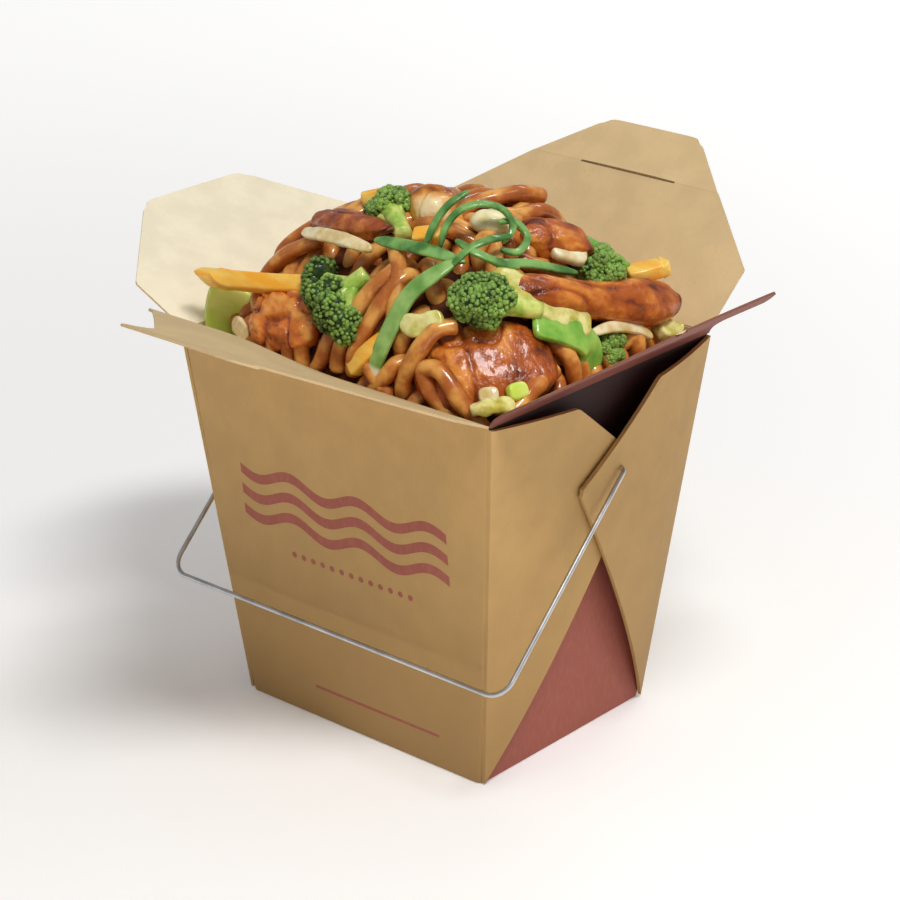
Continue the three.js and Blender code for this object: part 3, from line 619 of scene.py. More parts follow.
def make_gusset(hand, stand_off, mirror):
    """One gusset. `hand` is the corner it springs from and `mirror` the side wall it lies on. Its
    corners are (y, s): across the wall, and down it from the rim."""
    v = np.linspace(0, 1, 49)[:, None]
    i = np.linspace(0, 1, 25)[None, :]
    corner = np.array([-half_wall(GUSSET["top_s"]), GUSSET["top_s"]])
    knee = np.array(GUSSET["knee"])
    apex = np.array(GUSSET["apex"])
    base = np.array([-half_wall(WALL_RUN) + 0.5, WALL_RUN - 0.7])
    w = 0.985 * v[..., None]
    top = np.where(w < 0.5, mix(corner, knee, 2 * w), mix(knee, apex, 2 * w - 1))
    point = mix(top, mix(base, apex, w), i[..., None])
    y, s = point[..., 0], point[..., 1]
    lift = stand_off * (1 - (y / half_wall(s)) ** 2) - 0.3 * (1 - v) + GUSSET["ply"] / 2
    lift += 0.25 * np.sin(np.pi * i) * np.sin(2.3 * np.pi * v) * v
    place = np.array([TOP_X / 2, 0.0, HEIGHT]) + s[..., None] * WALL_DOWN + lift[..., None] * WALL_OUT
    place[..., 1] += hand * y
    if hand < 0:
        place = place[::-1]
    normal = np.broadcast_to(WALL_OUT, place.shape).copy()
    place[..., 0] *= mirror
    normal[..., 0] *= mirror
    if mirror < 0:
        place, normal = place[::-1], normal[::-1]
    return plate(place, normal, GUSSET["ply"])


pail_part, pail_paint = make_pail()
gusset_parts = [make_gusset(hand, GUSSET["lower"] if hand > 0 else GUSSET["upper"], side)
                for side in (1, -1) for hand in (1, -1)]
carton_part = joined([pail_part, *gusset_parts])
carton_paint = np.full(face_count(carton_part), GUSSET_FINISH)
carton_paint[:len(pail_paint)] = pail_paint
carton = make_piece("carton_board", carton_part, "carton",
                    [board_printed, board_inside, board_edge, board_gusset],
                    stands_for=["carton"], paint=carton_paint, sharp=CREASE_ANGLE)
print("carton faces", len(carton.data.polygons))

# %% [markdown]
# A flap is a plate that tapers from its crease to a blunt tip. It is drawn flat, across (s) and
# out from the crease (t), then turned up about the crease to its rest angle. The front one ends
# in a barbed tongue and bows up on one side, and the side ones arch a little over their creases.
# The back one has a cross crease with a slit in it, for the tongue: it is made of two plates
# that meet along the crease and part at the slit, where the outer one has a raised lip. Each
# flap's upper and under sides and its cut edge may have finishes of their own.

# %% Flaps
# The front flap's upper side carries painted shade and the left one's painted light; the side flaps' maroon
# undersides carry an even painted shade.
FLAPS = {
    "front": dict(outline=[(0, 52.4), (14.5, 52.4), (48.4, 16.0), (51.5, 22.5), (57.5, 19.5)], angle=24.0,
                  facing=180, hinge=(0, -TOP_Y / 2), top=board_painted_shade, under=board_outside, bow=3.85),
    "back": dict(outline=[(0, 52.4), (20.2, 52.4), (57.0, 15.5)], angle=40.0,
                 facing=0, hinge=(0, TOP_Y / 2), under=board_outside, crease=40.5, bend=-8.0),
    "left": dict(outline=[(0, 44.2), (19.5, 44.2), (45.5, 18.3)], angle=26.0,
                 facing=90, hinge=(-TOP_X / 2, 0), top=board_painted_lit, under=board_maroon, arch=0.3),
    "right": dict(outline=[(0, 44.2), (19.5, 44.2), (47.0, 18.3)], angle=34.5,
                  facing=-90, hinge=(TOP_X / 2, 0), top=board_inside, under=board_maroon,
                  edge=board_maroon_edge, arch=1.35),
}
SLIT = dict(start=-15.0, end=17.5, half=0.09, lip=0.4, lip_run=1.5)
FLAPS["back"]["top"] = board("kraft_back_flap", KRAFT_IN, shade_mask=slit_shade)
SAG = 0.45
BOW_RUN, BOW_FADE = 51.0, (-15.0, 20.0)
ARCH_RISE_RUN, ARCH_RUN = 1.8, 22.0
TIP_ROUNDING = dict(depth=1.2, run=3.0, power=14)


def flap_lift(s, t, flap):
    """How far the board stands off its flat plane. A bow is a parabola along t, faded across the
    flap. An arch rises fast from the crease and dies out. Past a cross crease the board leans by
    its bend."""
    reach = flap["outline"][-1][0]
    half = flap["outline"][0][1]
    lift = SAG * np.sin(np.pi * (s / half + 1) / 2) * (t / reach) ** 2
    if "bow" in flap:
        u = np.clip(t / BOW_RUN, 0, 1)
        lift = lift + 4 * flap["bow"] * u * (1 - u) * smooth_step(*BOW_FADE, s)
    if "arch" in flap:
        lift = lift + flap["arch"] * (1 - np.exp(-t / ARCH_RISE_RUN)) * np.exp(-((t / ARCH_RUN) ** 2))
    if "crease" in flap:
        lift = lift + np.maximum(t - flap["crease"], 0) * np.tan(np.radians(flap["bend"]))
    return lift


def slit_gap(s):
    """Half the slit's width at s: a long lens between its two ends."""
    along = np.clip((s - SLIT["start"]) / (SLIT["end"] - SLIT["start"]), 0, 1)
    return SLIT["half"] * np.clip(4 * along * (1 - along), 0, 1) ** 0.4


def flap_plate(flap, start, end, start_gap=0, end_gap=0):
    """The part of a flap between the lines t = start and t = end, as a closed plate. A gap of 1
    or -1 moves a line off the slit, and the plate that starts there rises to it in a lip."""
    bounds = np.array(flap["outline"])
    steps = np.linspace(0, 1, 49)[:, None]
    across = np.linspace(-1, 1, 73)[None, :]
    middle_t = mix(start + start_gap * slit_gap(0.0), end + end_gap * slit_gap(0.0), steps)
    s = across * np.interp(middle_t, *bounds.T)
    start_line = start + start_gap * slit_gap(s)
    t = mix(start_line, end + end_gap * slit_gap(s), steps)
    tip = bounds[-1, 0]
    corner = 1 - np.sqrt(np.clip(1 - across ** TIP_ROUNDING["power"], 0, 1))
    t = t - TIP_ROUNDING["depth"] * corner * smooth_step(tip - TIP_ROUNDING["run"], tip, t)
    lip = start_gap * SLIT["lip"] * slit_gap(s) / SLIT["half"]
    lift = flap_lift(s, t, flap) + lip * np.exp(-((t - start_line) / SLIT["lip_run"]))
    a, turn = np.radians(flap["angle"]), np.radians(flap["facing"])
    out = t * np.cos(a) - lift * np.sin(a)
    up = t * np.sin(a) + lift * np.cos(a)
    place = np.stack([
        flap["hinge"][0] + s * np.cos(turn) - out * np.sin(turn),
        flap["hinge"][1] + s * np.sin(turn) + out * np.cos(turn), HEIGHT + up], -1)
    normal = unit(np.cross(np.gradient(place, axis=1), np.gradient(place, axis=0)))
    return plate(place[::-1], normal[::-1], BOARD)


def make_flap(name, flap):
    """One flap: a single plate, or two that part at the slit."""
    tip = flap["outline"][-1][0]
    if "crease" in flap:
        parts = [flap_plate(flap, 0.0, flap["crease"], end_gap=-1),
                 flap_plate(flap, flap["crease"], tip, start_gap=1)]
    else:
        parts = [flap_plate(flap, 0.0, tip)]
    part = joined(parts)
    paint = np.concatenate([np.full(len(f), k % 3) for k, f in enumerate(part[1])])
    make_piece(f"flap_{name}_board", part, f"flap_{name}",
               [flap["top"], flap["under"], flap.get("edge", board_edge)],
               stands_for=[f"flap_{name}"], paint=paint, sharp=CREASE_ANGLE)


for flap_name, flap in FLAPS.items():
    make_flap(flap_name, flap)
print("flaps", list(FLAPS))

# %% [markdown]
# The handle is drawn steel wire: a hooked end behind the gusset, a short run through its hole,
# a straight arm, a rounded corner and the long crossbar, and the same again on the other side.

# %% Wire handle
WIRE = dict(radius=0.65, pivot=(1.6, 82.4), arm_x=58.8, arm=67.0, drop=44.6, corner=5.5)
HOOK = dict(x=52.6, length=3.2, bend=1.3)


def rounded(corners, radii, steps):
    """A polyline whose inner corners are arcs of the given radii."""
    path = [corners[0]]
    for k, radius in enumerate(radii, start=1):
        back, on = unit(corners[k - 1] - corners[k]), unit(corners[k + 1] - corners[k])
        half = np.arccos(np.clip(back @ on, -1, 1)) / 2
        centre = corners[k] + unit(back + on) * radius / np.sin(half)
        start = corners[k] + back * radius / np.tan(half) - centre
        end = corners[k] + on * radius / np.tan(half) - centre
        turn = np.pi - 2 * half
        f = np.linspace(0, 1, steps)[:, None]
        path += list(centre + (start * np.sin((1 - f) * turn) + end * np.sin(f * turn)) / np.sin(turn))
    return np.array([*path, corners[-1]])


def make_handle():
    """The right half from hook to crossbar, mirrored for the left, rounded at its bends, and swept
    by a circle. Its upright is carried along from point to point so that the tube never twists."""
    py, pz = WIRE["pivot"]
    drop = np.radians(WIRE["drop"])
    ey, ez = py - WIRE["arm"] * np.cos(drop), pz - WIRE["arm"] * np.sin(drop)
    right = np.array([(HOOK["x"], py, pz - HOOK["length"]), (HOOK["x"], py, pz),
                      (WIRE["arm_x"], py, pz), (WIRE["arm_x"], ey, ez)])
    corners = np.concatenate([right, right[::-1] * (-1, 1, 1)])
    bends = [HOOK["bend"], HOOK["bend"], WIRE["corner"]]
    path = rounded(corners, bends + bends[::-1], 12)
    tangent = unit(np.gradient(path, axis=0))
    up = [np.array([0.0, 1.0, 0.0])]
    for direction in tangent[1:]:
        up.append(unit(up[-1] - direction * (up[-1] @ direction)))
    radius = np.full(len(path), WIRE["radius"])
    return tube(swept_rings(path, np.array(up), oval(radius, radius, 20)))


steel = Recipe("steel_wire")
steel_grain = steel.grain(6.0, detail=2)
steel_tint = steel.blend(steel_grain.ramp(0.3, 0.7), colour(186, 186, 188), colour(212, 212, 214))
wire_steel = steel.finish(base_color=steel_tint, metallic=1.0, roughness=steel_grain * 0.08 + 0.3)
handle = make_piece("handle_wire", make_handle(), "handle", [wire_steel], stands_for=["handle"])
print("handle faces", len(handle.data.polygons))

# %% [markdown]
# Food is wet. Each material below is a base colour that varies from place to place under a clear
# coat of sauce: the coat gives the small bright highlights, and a fine bump breaks them up.

# %% Food finishes
def wet(name, low, high, size, roughness=0.3, coat=0.6, bump=0.25, bump_size=1.5, scatter=0.1,
        streak=(1, 1, 1), tone_mix=0.0, detail=3.0, middle=None, end=None, gloss=0.25):
    """A moist surface whose colour runs from low to high by noise and by the mesh's own tone,
    through a middle colour if there is one. `end` colours the far end of a strip. Colours are
    screen colours, 0 to 255."""
    r = Recipe(name)
    low, high = colour(*low), colour(*high)
    spread = r.grain(size, detail=detail, stretch=streak)
    amount = spread.ramp(0.32, 0.68)
    if tone_mix:
        amount = amount * (1 - tone_mix) + r.tone() * tone_mix
    tint = r.blend(amount, low, high)
    if middle:
        tint = r.blend(amount.ramp(0.05, 0.55), low, colour(*middle))
        tint = r.blend(amount.ramp(0.5, 0.95), tint, high)
    if end:
        tint = r.blend(r.tone().ramp(0.86, 0.91), tint, colour(*end))
    surface = r.bumps(r.grain(bump_size, detail=4), bump)
    return r.finish(base_color=tint, roughness=spread * 0.2 + (roughness - 0.1), normal=surface,
                    coat_weight=coat, coat_roughness=0.06, specular_ior_level=gloss,
                    subsurface_weight=scatter, subsurface_radius=(1.0, 0.5, 0.25),
                    subsurface_scale=0.002)


noodle_skin = wet("noodle_glazed", (104, 38, 8), (236, 172, 86), 6, bump=0.1, tone_mix=0.6,
                  scatter=0.08, middle=(184, 102, 40))
# Painted shade: the core stands for noodles deep in the heap, in a dark colour.
core_painted_shade = wet("noodle_depths_shade", (52, 20, 7), (104, 50, 18), 4, roughness=0.8, coat=0.0)
chicken_skin = wet("chicken_glazed", (84, 22, 7), (236, 152, 64), 7, roughness=0.22, bump=0.7,
                   bump_size=2.0, tone_mix=0.6, detail=4, scatter=0.06, middle=(182, 90, 30),
                   coat=0.28, gloss=0.3)
chicken_red = wet("chicken_red", (88, 30, 9), (218, 132, 60), 6, roughness=0.25, bump=0.4,
                  bump_size=1.4, tone_mix=0.5, detail=4, scatter=0.06, middle=(160, 74, 28),
                  coat=0.35, gloss=0.4)
# Painted light: the left cut's glaze painted lighter than the others.
chicken_painted_lit = wet("chicken_painted_lit", (126, 42, 12), (250, 176, 84), 6, roughness=0.2, bump=0.5,
                  bump_size=1.6, tone_mix=0.6, detail=4, scatter=0.06, middle=(216, 118, 42),
                  coat=0.5, gloss=0.4)
chicken_pale = wet("chicken_pale", (140, 60, 14), (250, 228, 176), 5, bump=0.2, bump_size=1.6,
                   tone_mix=0.7, scatter=0.06, middle=(226, 154, 66))
broccoli_buds = wet("broccoli_buds", (12, 40, 18), (146, 184, 84), 3.5, roughness=0.5, coat=0.25,
                    bump=0.1, bump_size=0.5, scatter=0.05, tone_mix=0.8)
broccoli_stem = wet("broccoli_stem", (150, 190, 70), (226, 232, 132), 4, coat=0.5)
carrot_flesh = wet("carrot_cut", (255, 178, 50), (255, 214, 106), 4, bump=0.1, roughness=0.45,
                   coat=0.4, streak=(0.3, 1, 1))
pepper_light = wet("pepper_light", (200, 228, 84), (230, 242, 134), 8, bump=0.05)
pepper_green = wet("pepper_green", (104, 170, 56), (168, 212, 98), 8, bump=0.05)
onion_leaf = wet("onion_leaf", (62, 116, 50), (134, 182, 98), 6, bump=0.1, bump_size=0.8,
                 roughness=0.4)
onion_stem = wet("onion_stem", (100, 152, 66), (166, 202, 116), 9, bump=0.1, bump_size=0.8,
                 roughness=0.4, end=(250, 246, 228))
onion_flesh = wet("onion_flesh", (214, 186, 120), (248, 238, 200), 5, bump=0.08, scatter=0.2)
cabbage_leaf = wet("cabbage_leaf", (196, 186, 74), (240, 234, 160), 4, bump=0.3, bump_size=2.0,
                   scatter=0.2)
nut_skin = wet("nut_kernel", (228, 208, 138), (250, 240, 194), 4, coat=0.4, bump=0.06)

# %% [markdown]
# A cut of meat starts as a squarish ball between two ends, lying on the heap. Waves of a few
# sizes push it in and out: the broad ones give each cut its own form, and the finer ones give
# its skin the creases and blisters that glaze shows up.

# %% Chicken shapes
def frame_between(a, b):
    """Middle, along, side and up of a piece from a to b, with up along the heap's normal."""
    middle = (a + b) / 2
    along = unit(b - a)
    side = unit(np.cross(heap_normal(middle), along))
    return middle, along, side, np.cross(along, side)


def unevenness(d, seed):
    """Three broad waves over the directions d, the same ones that the solid has."""
    total = 0.0
    for k in (1, 2, 3):
        phase = seed * 2.39 + k * 1.7
        wave = np.sin(d[:, 0] * (1.3 * k + 1) + phase) * np.sin(d[:, 1] * (1.5 * k + 0.8) + 1.3 * phase)
        total = total + wave * np.cos(d[:, 2] * (1.2 * k + 1.1) + 0.7 * phase) / k
    return total


def creases(points, size, depth, seed):
    """Narrow valleys where a broad noise crosses zero, as folds in meat lie, with finer wrinkles
    between them. Gives the offset in mm, and a tone that varies at random and is painted dark in
    the folds, as painted shade."""
    broad = noise(points, size, seed)
    fold = np.exp(-((broad / 0.10) ** 2))
    fine = noise(points, size * 0.3, seed + 9, 2)
    tone = np.clip(0.62 - 0.5 * fold + 0.22 * fine + 0.2 * broad, 0, 1)
    return depth * (0.7 * broad - fold + 0.35 * fine), tone


def lump(a, b, width, thickness, seed, rough=0.12, square=0.8, depth=0.55, size=6.0, stretch=(1, 1, 1), n=40):
    """A squarish ball between a and b, creased. Gives its part and the tone at each vertex."""
    a, b = np.array(a, float), np.array(b, float)
    middle, along, side, up = frame_between(a, b)
    d, quads = ball(n)
    half = np.array([np.linalg.norm(b - a), width, thickness]) / 2
    body = np.sign(d) * np.abs(d) ** square * half * (1 + rough * unevenness(d, seed))[:, None]
    offset, tone = creases(body * np.array(stretch), size, depth, seed)
    # The tone is darker at the two ends, which brown, and painted darker underneath, as painted shade.
    tone = tone - 0.35 * smooth_step(0.7, 1.0, np.abs(d[:, 0])) - 0.45 * smooth_step(0.0, 0.8, -d[:, 2])
    return (middle + (body + d * offset[:, None]) @ np.array([along, side, up]), [quads]), tone


def long_cut(points, width, thickness, seed):
    """A long cut: an oval section that swells and thins along its path, with creases that run
    along it. The path's own length is one axis of the noise."""
    rows, around = 120, 56
    path = smooth_path(points, rows)
    t = np.linspace(0, 1, rows)
    end = np.sqrt(np.maximum(0, 1 - np.abs(2 * t - 1) ** 5)) * 0.97 + 0.03
    wave = 1 + 0.1 * np.sin(9 * t + seed)
    flat = oval(mix(*width, t) / 2 * end * wave, mix(*thickness, t) / 2 * end, around, 0.85)
    rings = swept_rings(path, heap_normal(path), flat)
    place = np.concatenate([np.broadcast_to(24 * t[:, None, None], (rows, around, 1)), flat], -1)
    offset, tone = creases(place, 5.0, 0.5, seed)
    rings = rings + unit(rings - path[:, None]) * (offset * end[:, None])[..., None]
    tone = tone - 0.3 * smooth_step(0.8, 1.0, np.abs(2 * t - 1))[:, None]
    return tube(rings), np.concatenate([tone.ravel(), [0.2, 0.2]])

# %% [markdown]
# Eight cuts lie on the heap: two large ones at the front, a long one down the right side, a thin
# slice and a pale, half-glazed one near the top, and three behind. The pale one is light on the
# side that was cut last, so its tone is mixed again by the way that each vertex faces.

# %% Chicken pieces
CHICKEN = {
    "chicken_front": lump((25, -40, 108.5), (46, -15, 114.5), 27, 13, 3, size=7,
                          stretch=(1.3, 0.5, 1), n=64),
    "chicken_left": lump((-33, -36.8, 112), (-9, -36.4, 116.3), 18, 11, 5, rough=0.13, depth=0.85, n=56),
    "chicken_top": lump((1, -12, 140), (3, -1, 141), 13.5, 14, 8, size=8, depth=0.5),
    "chicken_slice_top": lump((-31, -16, 134), (-1, -20, 138), 8, 6, 2, stretch=(0.6, 1, 1)),
    "chicken_long": long_cut(
        [(34, -17, 130.5), (40, -6, 127), (44, 8, 122), (46, 22, 118.5), (46.5, 38, 115)],
        (8.5, 13), (8, 10), 1),
    "chicken_back_right": lump((23, 1, 138), (35, 16, 133), 11, 8, 11, stretch=(0.5, 1, 1)),
    "chicken_back": lump((-26, 20, 131), (-6, 31, 127), 17, 10, 14),
    "chicken_back_left": lump((-44, -2, 121), (-38, 16, 124), 15, 9, 17),
}
CHICKEN_FINISH = {
    "chicken_top": chicken_pale,
    "chicken_slice_top": chicken_red,
    "chicken_left": chicken_painted_lit,
}
PALE_SIDE = unit(np.array([0.35, -0.8, 0.35]))
top_part, top_tone = CHICKEN["chicken_top"]
towards = unit(top_part[0] - top_part[0].mean(0)) @ PALE_SIDE
CHICKEN["chicken_top"] = (top_part, np.clip(0.35 * top_tone + 0.75 * smooth_step(0.35, 0.9, towards), 0, 1))
for node, (part, tone) in CHICKEN.items():
    make_piece(f"{node}_cut", part, "carton", [CHICKEN_FINISH.get(node, chicken_skin)],
               stands_for=[node], tone=tone)
print("chicken pieces", len(CHICKEN))

# %% [markdown]
# A floret's crown is a cauliflower of small domes, each covered with buds no larger than a grain.
# The domes sit on the crown's ellipsoid by the golden-angle rule, and each carries its buds by
# the same rule. Buds are few-sided, because there are hundreds of them.

# %% Floret shape
GOLDEN = np.pi * (3 - np.sqrt(5))


def golden_directions(count):
    """Directions spread evenly over a ball: equal steps of height, each turned by the golden
    angle."""
    k = np.arange(count) + 0.5
    z = 1 - 2 * k / count
    ring = np.sqrt(1 - z * z)
    return np.stack([ring * np.cos(GOLDEN * k), ring * np.sin(GOLDEN * k), z], -1)


# Painted light: buds on the side of a crown that faces this way are painted lighter.
LIT_FROM = unit(np.array([0.5, -0.2, 0.85]))
TWIG_UP = unit(np.array([0.31, 0.17, 0.93]))


def twig(points, radius, around):
    """A round stem through the points, with a radius for each of its rows."""
    path = smooth_path(points, len(radius))
    up = np.broadcast_to(TWIG_UP, path.shape)
    return tube(swept_rings(path, up, oval(radius, radius, around)))


def floret(foot, crown, long, wide, deep, seed, roll=0.0):
    """A crown of domes and buds over its branches. `roll` turns the crown about its stem, in
    degrees. Buds are painted lighter at their tips and where the crown faces up to the light, and
    the domes under them are painted dark, as painted light and shade."""
    foot, crown = np.array(foot, float), np.array(crown, float)
    axis = unit(crown - foot)
    side = unit(np.cross(heap_normal(crown), axis))
    third = np.cross(axis, side)
    c, s = np.cos(np.radians(roll)), np.sin(np.radians(roll))
    turn = np.array([axis, side * c + third * s, third * c - side * s])
    size = np.array([deep, long, wide])
    random = np.random.default_rng(seed)
    dome_radius = 0.30 * size.mean()
    d = golden_directions(38)
    d = d[d[:, 0] > -0.45]
    d = unit(d + random.normal(0, 0.16, d.shape))
    domes = d * (size - dome_radius * 0.8) * random.uniform(0.84, 1.06, (len(d), 1))
    ball_d, ball_f = ball(6)
    bud_d, bud_f = ball(2)
    parts = []
    tones = []
    for dome in domes:
        grow = dome_radius * random.uniform(0.85, 1.12)
        parts.append((crown + (dome + ball_d * grow * 0.92) @ turn, [ball_f]))
        tones.append(np.full(len(ball_d), 0.0))
        shade = random.uniform(0.0, 0.45)
        buds = unit(golden_directions(64) + random.normal(0, 0.12, (64, 3)))
        buds = buds[buds @ unit(dome / size) > -0.15]
        at = dome + buds * grow
        gap = np.linalg.norm(at[:, None] - domes[None], axis=-1)
        at = at[(gap > dome_radius * 0.8).all(1)]
        for bud in at:
            radius = random.uniform(0.42, 0.82)
            parts.append((crown + (bud + bud_d * radius) @ turn, [bud_f]))
            outward = bud_d @ unit(bud - dome * 0.4)
            lit = 0.3 * float(unit(bud / size) @ turn @ LIT_FROM)
            tones.append(np.clip(shade + lit + (0.25 + 0.25 * outward) * random.uniform(0.2, 1.6), 0, 1))
    buds_part = joined(parts)
    stem = twig([foot, mix(foot, crown, 0.6), crown], mix(2.3, 3.6, np.linspace(0, 1, 12) ** 1.5), 18)
    branches = []
    for dome in domes[::2]:
        start, end = mix(foot, crown, 0.35), crown + dome * 0.85 @ turn
        branches.append(twig([start, mix(start, end, 0.5) + axis * 0.5, end], np.linspace(1.7, 1.1, 7), 8))
    stem_part = joined([stem, *branches])
    paint = np.repeat([0, 1], [face_count(buds_part), face_count(stem_part)])
    tone = np.concatenate([*tones, np.full(len(stem_part[0]), 0.5)])
    return joined([buds_part, stem_part]), paint, tone

# %% [markdown]
# Six florets, each given by its foot, the middle of its crown, the crown's half sizes, a seed and
# sometimes a turn about the stem. Their points are kept, because noodles pass below them.

# %% Florets
floret_points = []
FLORETS = {
    "broccoli_left": ((0, -30, 129.5), (-6, -36, 122.5), 16, 6.8, 6.5, 1, 14),
    "broccoli_front": ((42.5, -13, 125), (34.6, -25.5, 129.2), 7.2, 6.8, 9.2, 2),
    "broccoli_right": ((33, 14, 124), (38, 17, 126), 7.5, 7, 6, 3),
    "broccoli_back_left": ((2, -18, 137), (-9, -11, 140), 6.5, 5.5, 6.5, 4),
    "broccoli_small": ((42.5, 6.2, 110.5), (46.2, 9.6, 110.6), 5.8, 4.0, 4.3, 5),
    "broccoli_back": ((2, 30, 122), (5, 36, 120.5), 7, 6.5, 6, 6),
}
for node, sizes in FLORETS.items():
    part, paint, tone = floret(*sizes)
    floret_points.append(part[0])
    piece = make_piece(f"{node}_floret", part, "carton", [broccoli_buds, broccoli_stem],
                       stands_for=[node], paint=paint, tone=tone)
    print(node, "faces", len(piece.data.polygons))

# %% [markdown]
# Cut vegetables are strips: a flat, soft-cornered section along a smooth path, with its width
# tapering towards the ends. Thin ones get a slow wave, because a leaf is never flat.

# %% Strips
STRIP_AROUND = 20


def strip(points, width, thickness, taper=0.5, wave=0.0, rows=60, square=0.55, face=None, slant=0.0):
    """A strip along a path. Its width falls to `taper` of itself at the ends, by the fourth power
    of the distance from the middle. Its broad side lies on the heap, or turns towards `face`.
    `slant` leans the first end, as a knife leaves it."""
    path = smooth_path(points, rows)
    t = np.linspace(0, 1, rows)
    fullness = 1 - (1 - taper) * np.abs(2 * t - 1) ** 4
    close = np.sqrt(np.clip(1 - np.abs(2 * t - 1) ** 24, 0.02, 1))
    section = oval(width / 2 * fullness * close, thickness / 2 * close, STRIP_AROUND, square)
    up = heap_normal(path) if face is None else np.broadcast_to(unit(np.array(face, float)), path.shape)
    rings = swept_rings(path, up, section)
    if slant:
        lean = slant * section[..., 1] * (1 - smooth_step(0.0, 0.35, t))[:, None]
        rings = rings - unit(path[1] - path[0]) * lean[..., None]
    if wave:
        rings = rings + up[:, None] * (wave * noise(rings, 4.0, int(width * 7), 2))[..., None]
    return tube(rings)


def run_tone(part):
    """How far along its path each vertex of a strip lies, from 0 to 1, with its two end points."""
    rows = (len(part[0]) - 2) // STRIP_AROUND
    return np.concatenate([np.repeat(np.linspace(0, 1, rows), STRIP_AROUND), [0.0, 1.0]])

# %% [markdown]
# Each kind of strip has its slot, its finish and the form that its pieces share. The table then
# gives each piece's kind, width, thickness, own form and path. The nut is a small, smooth ball.

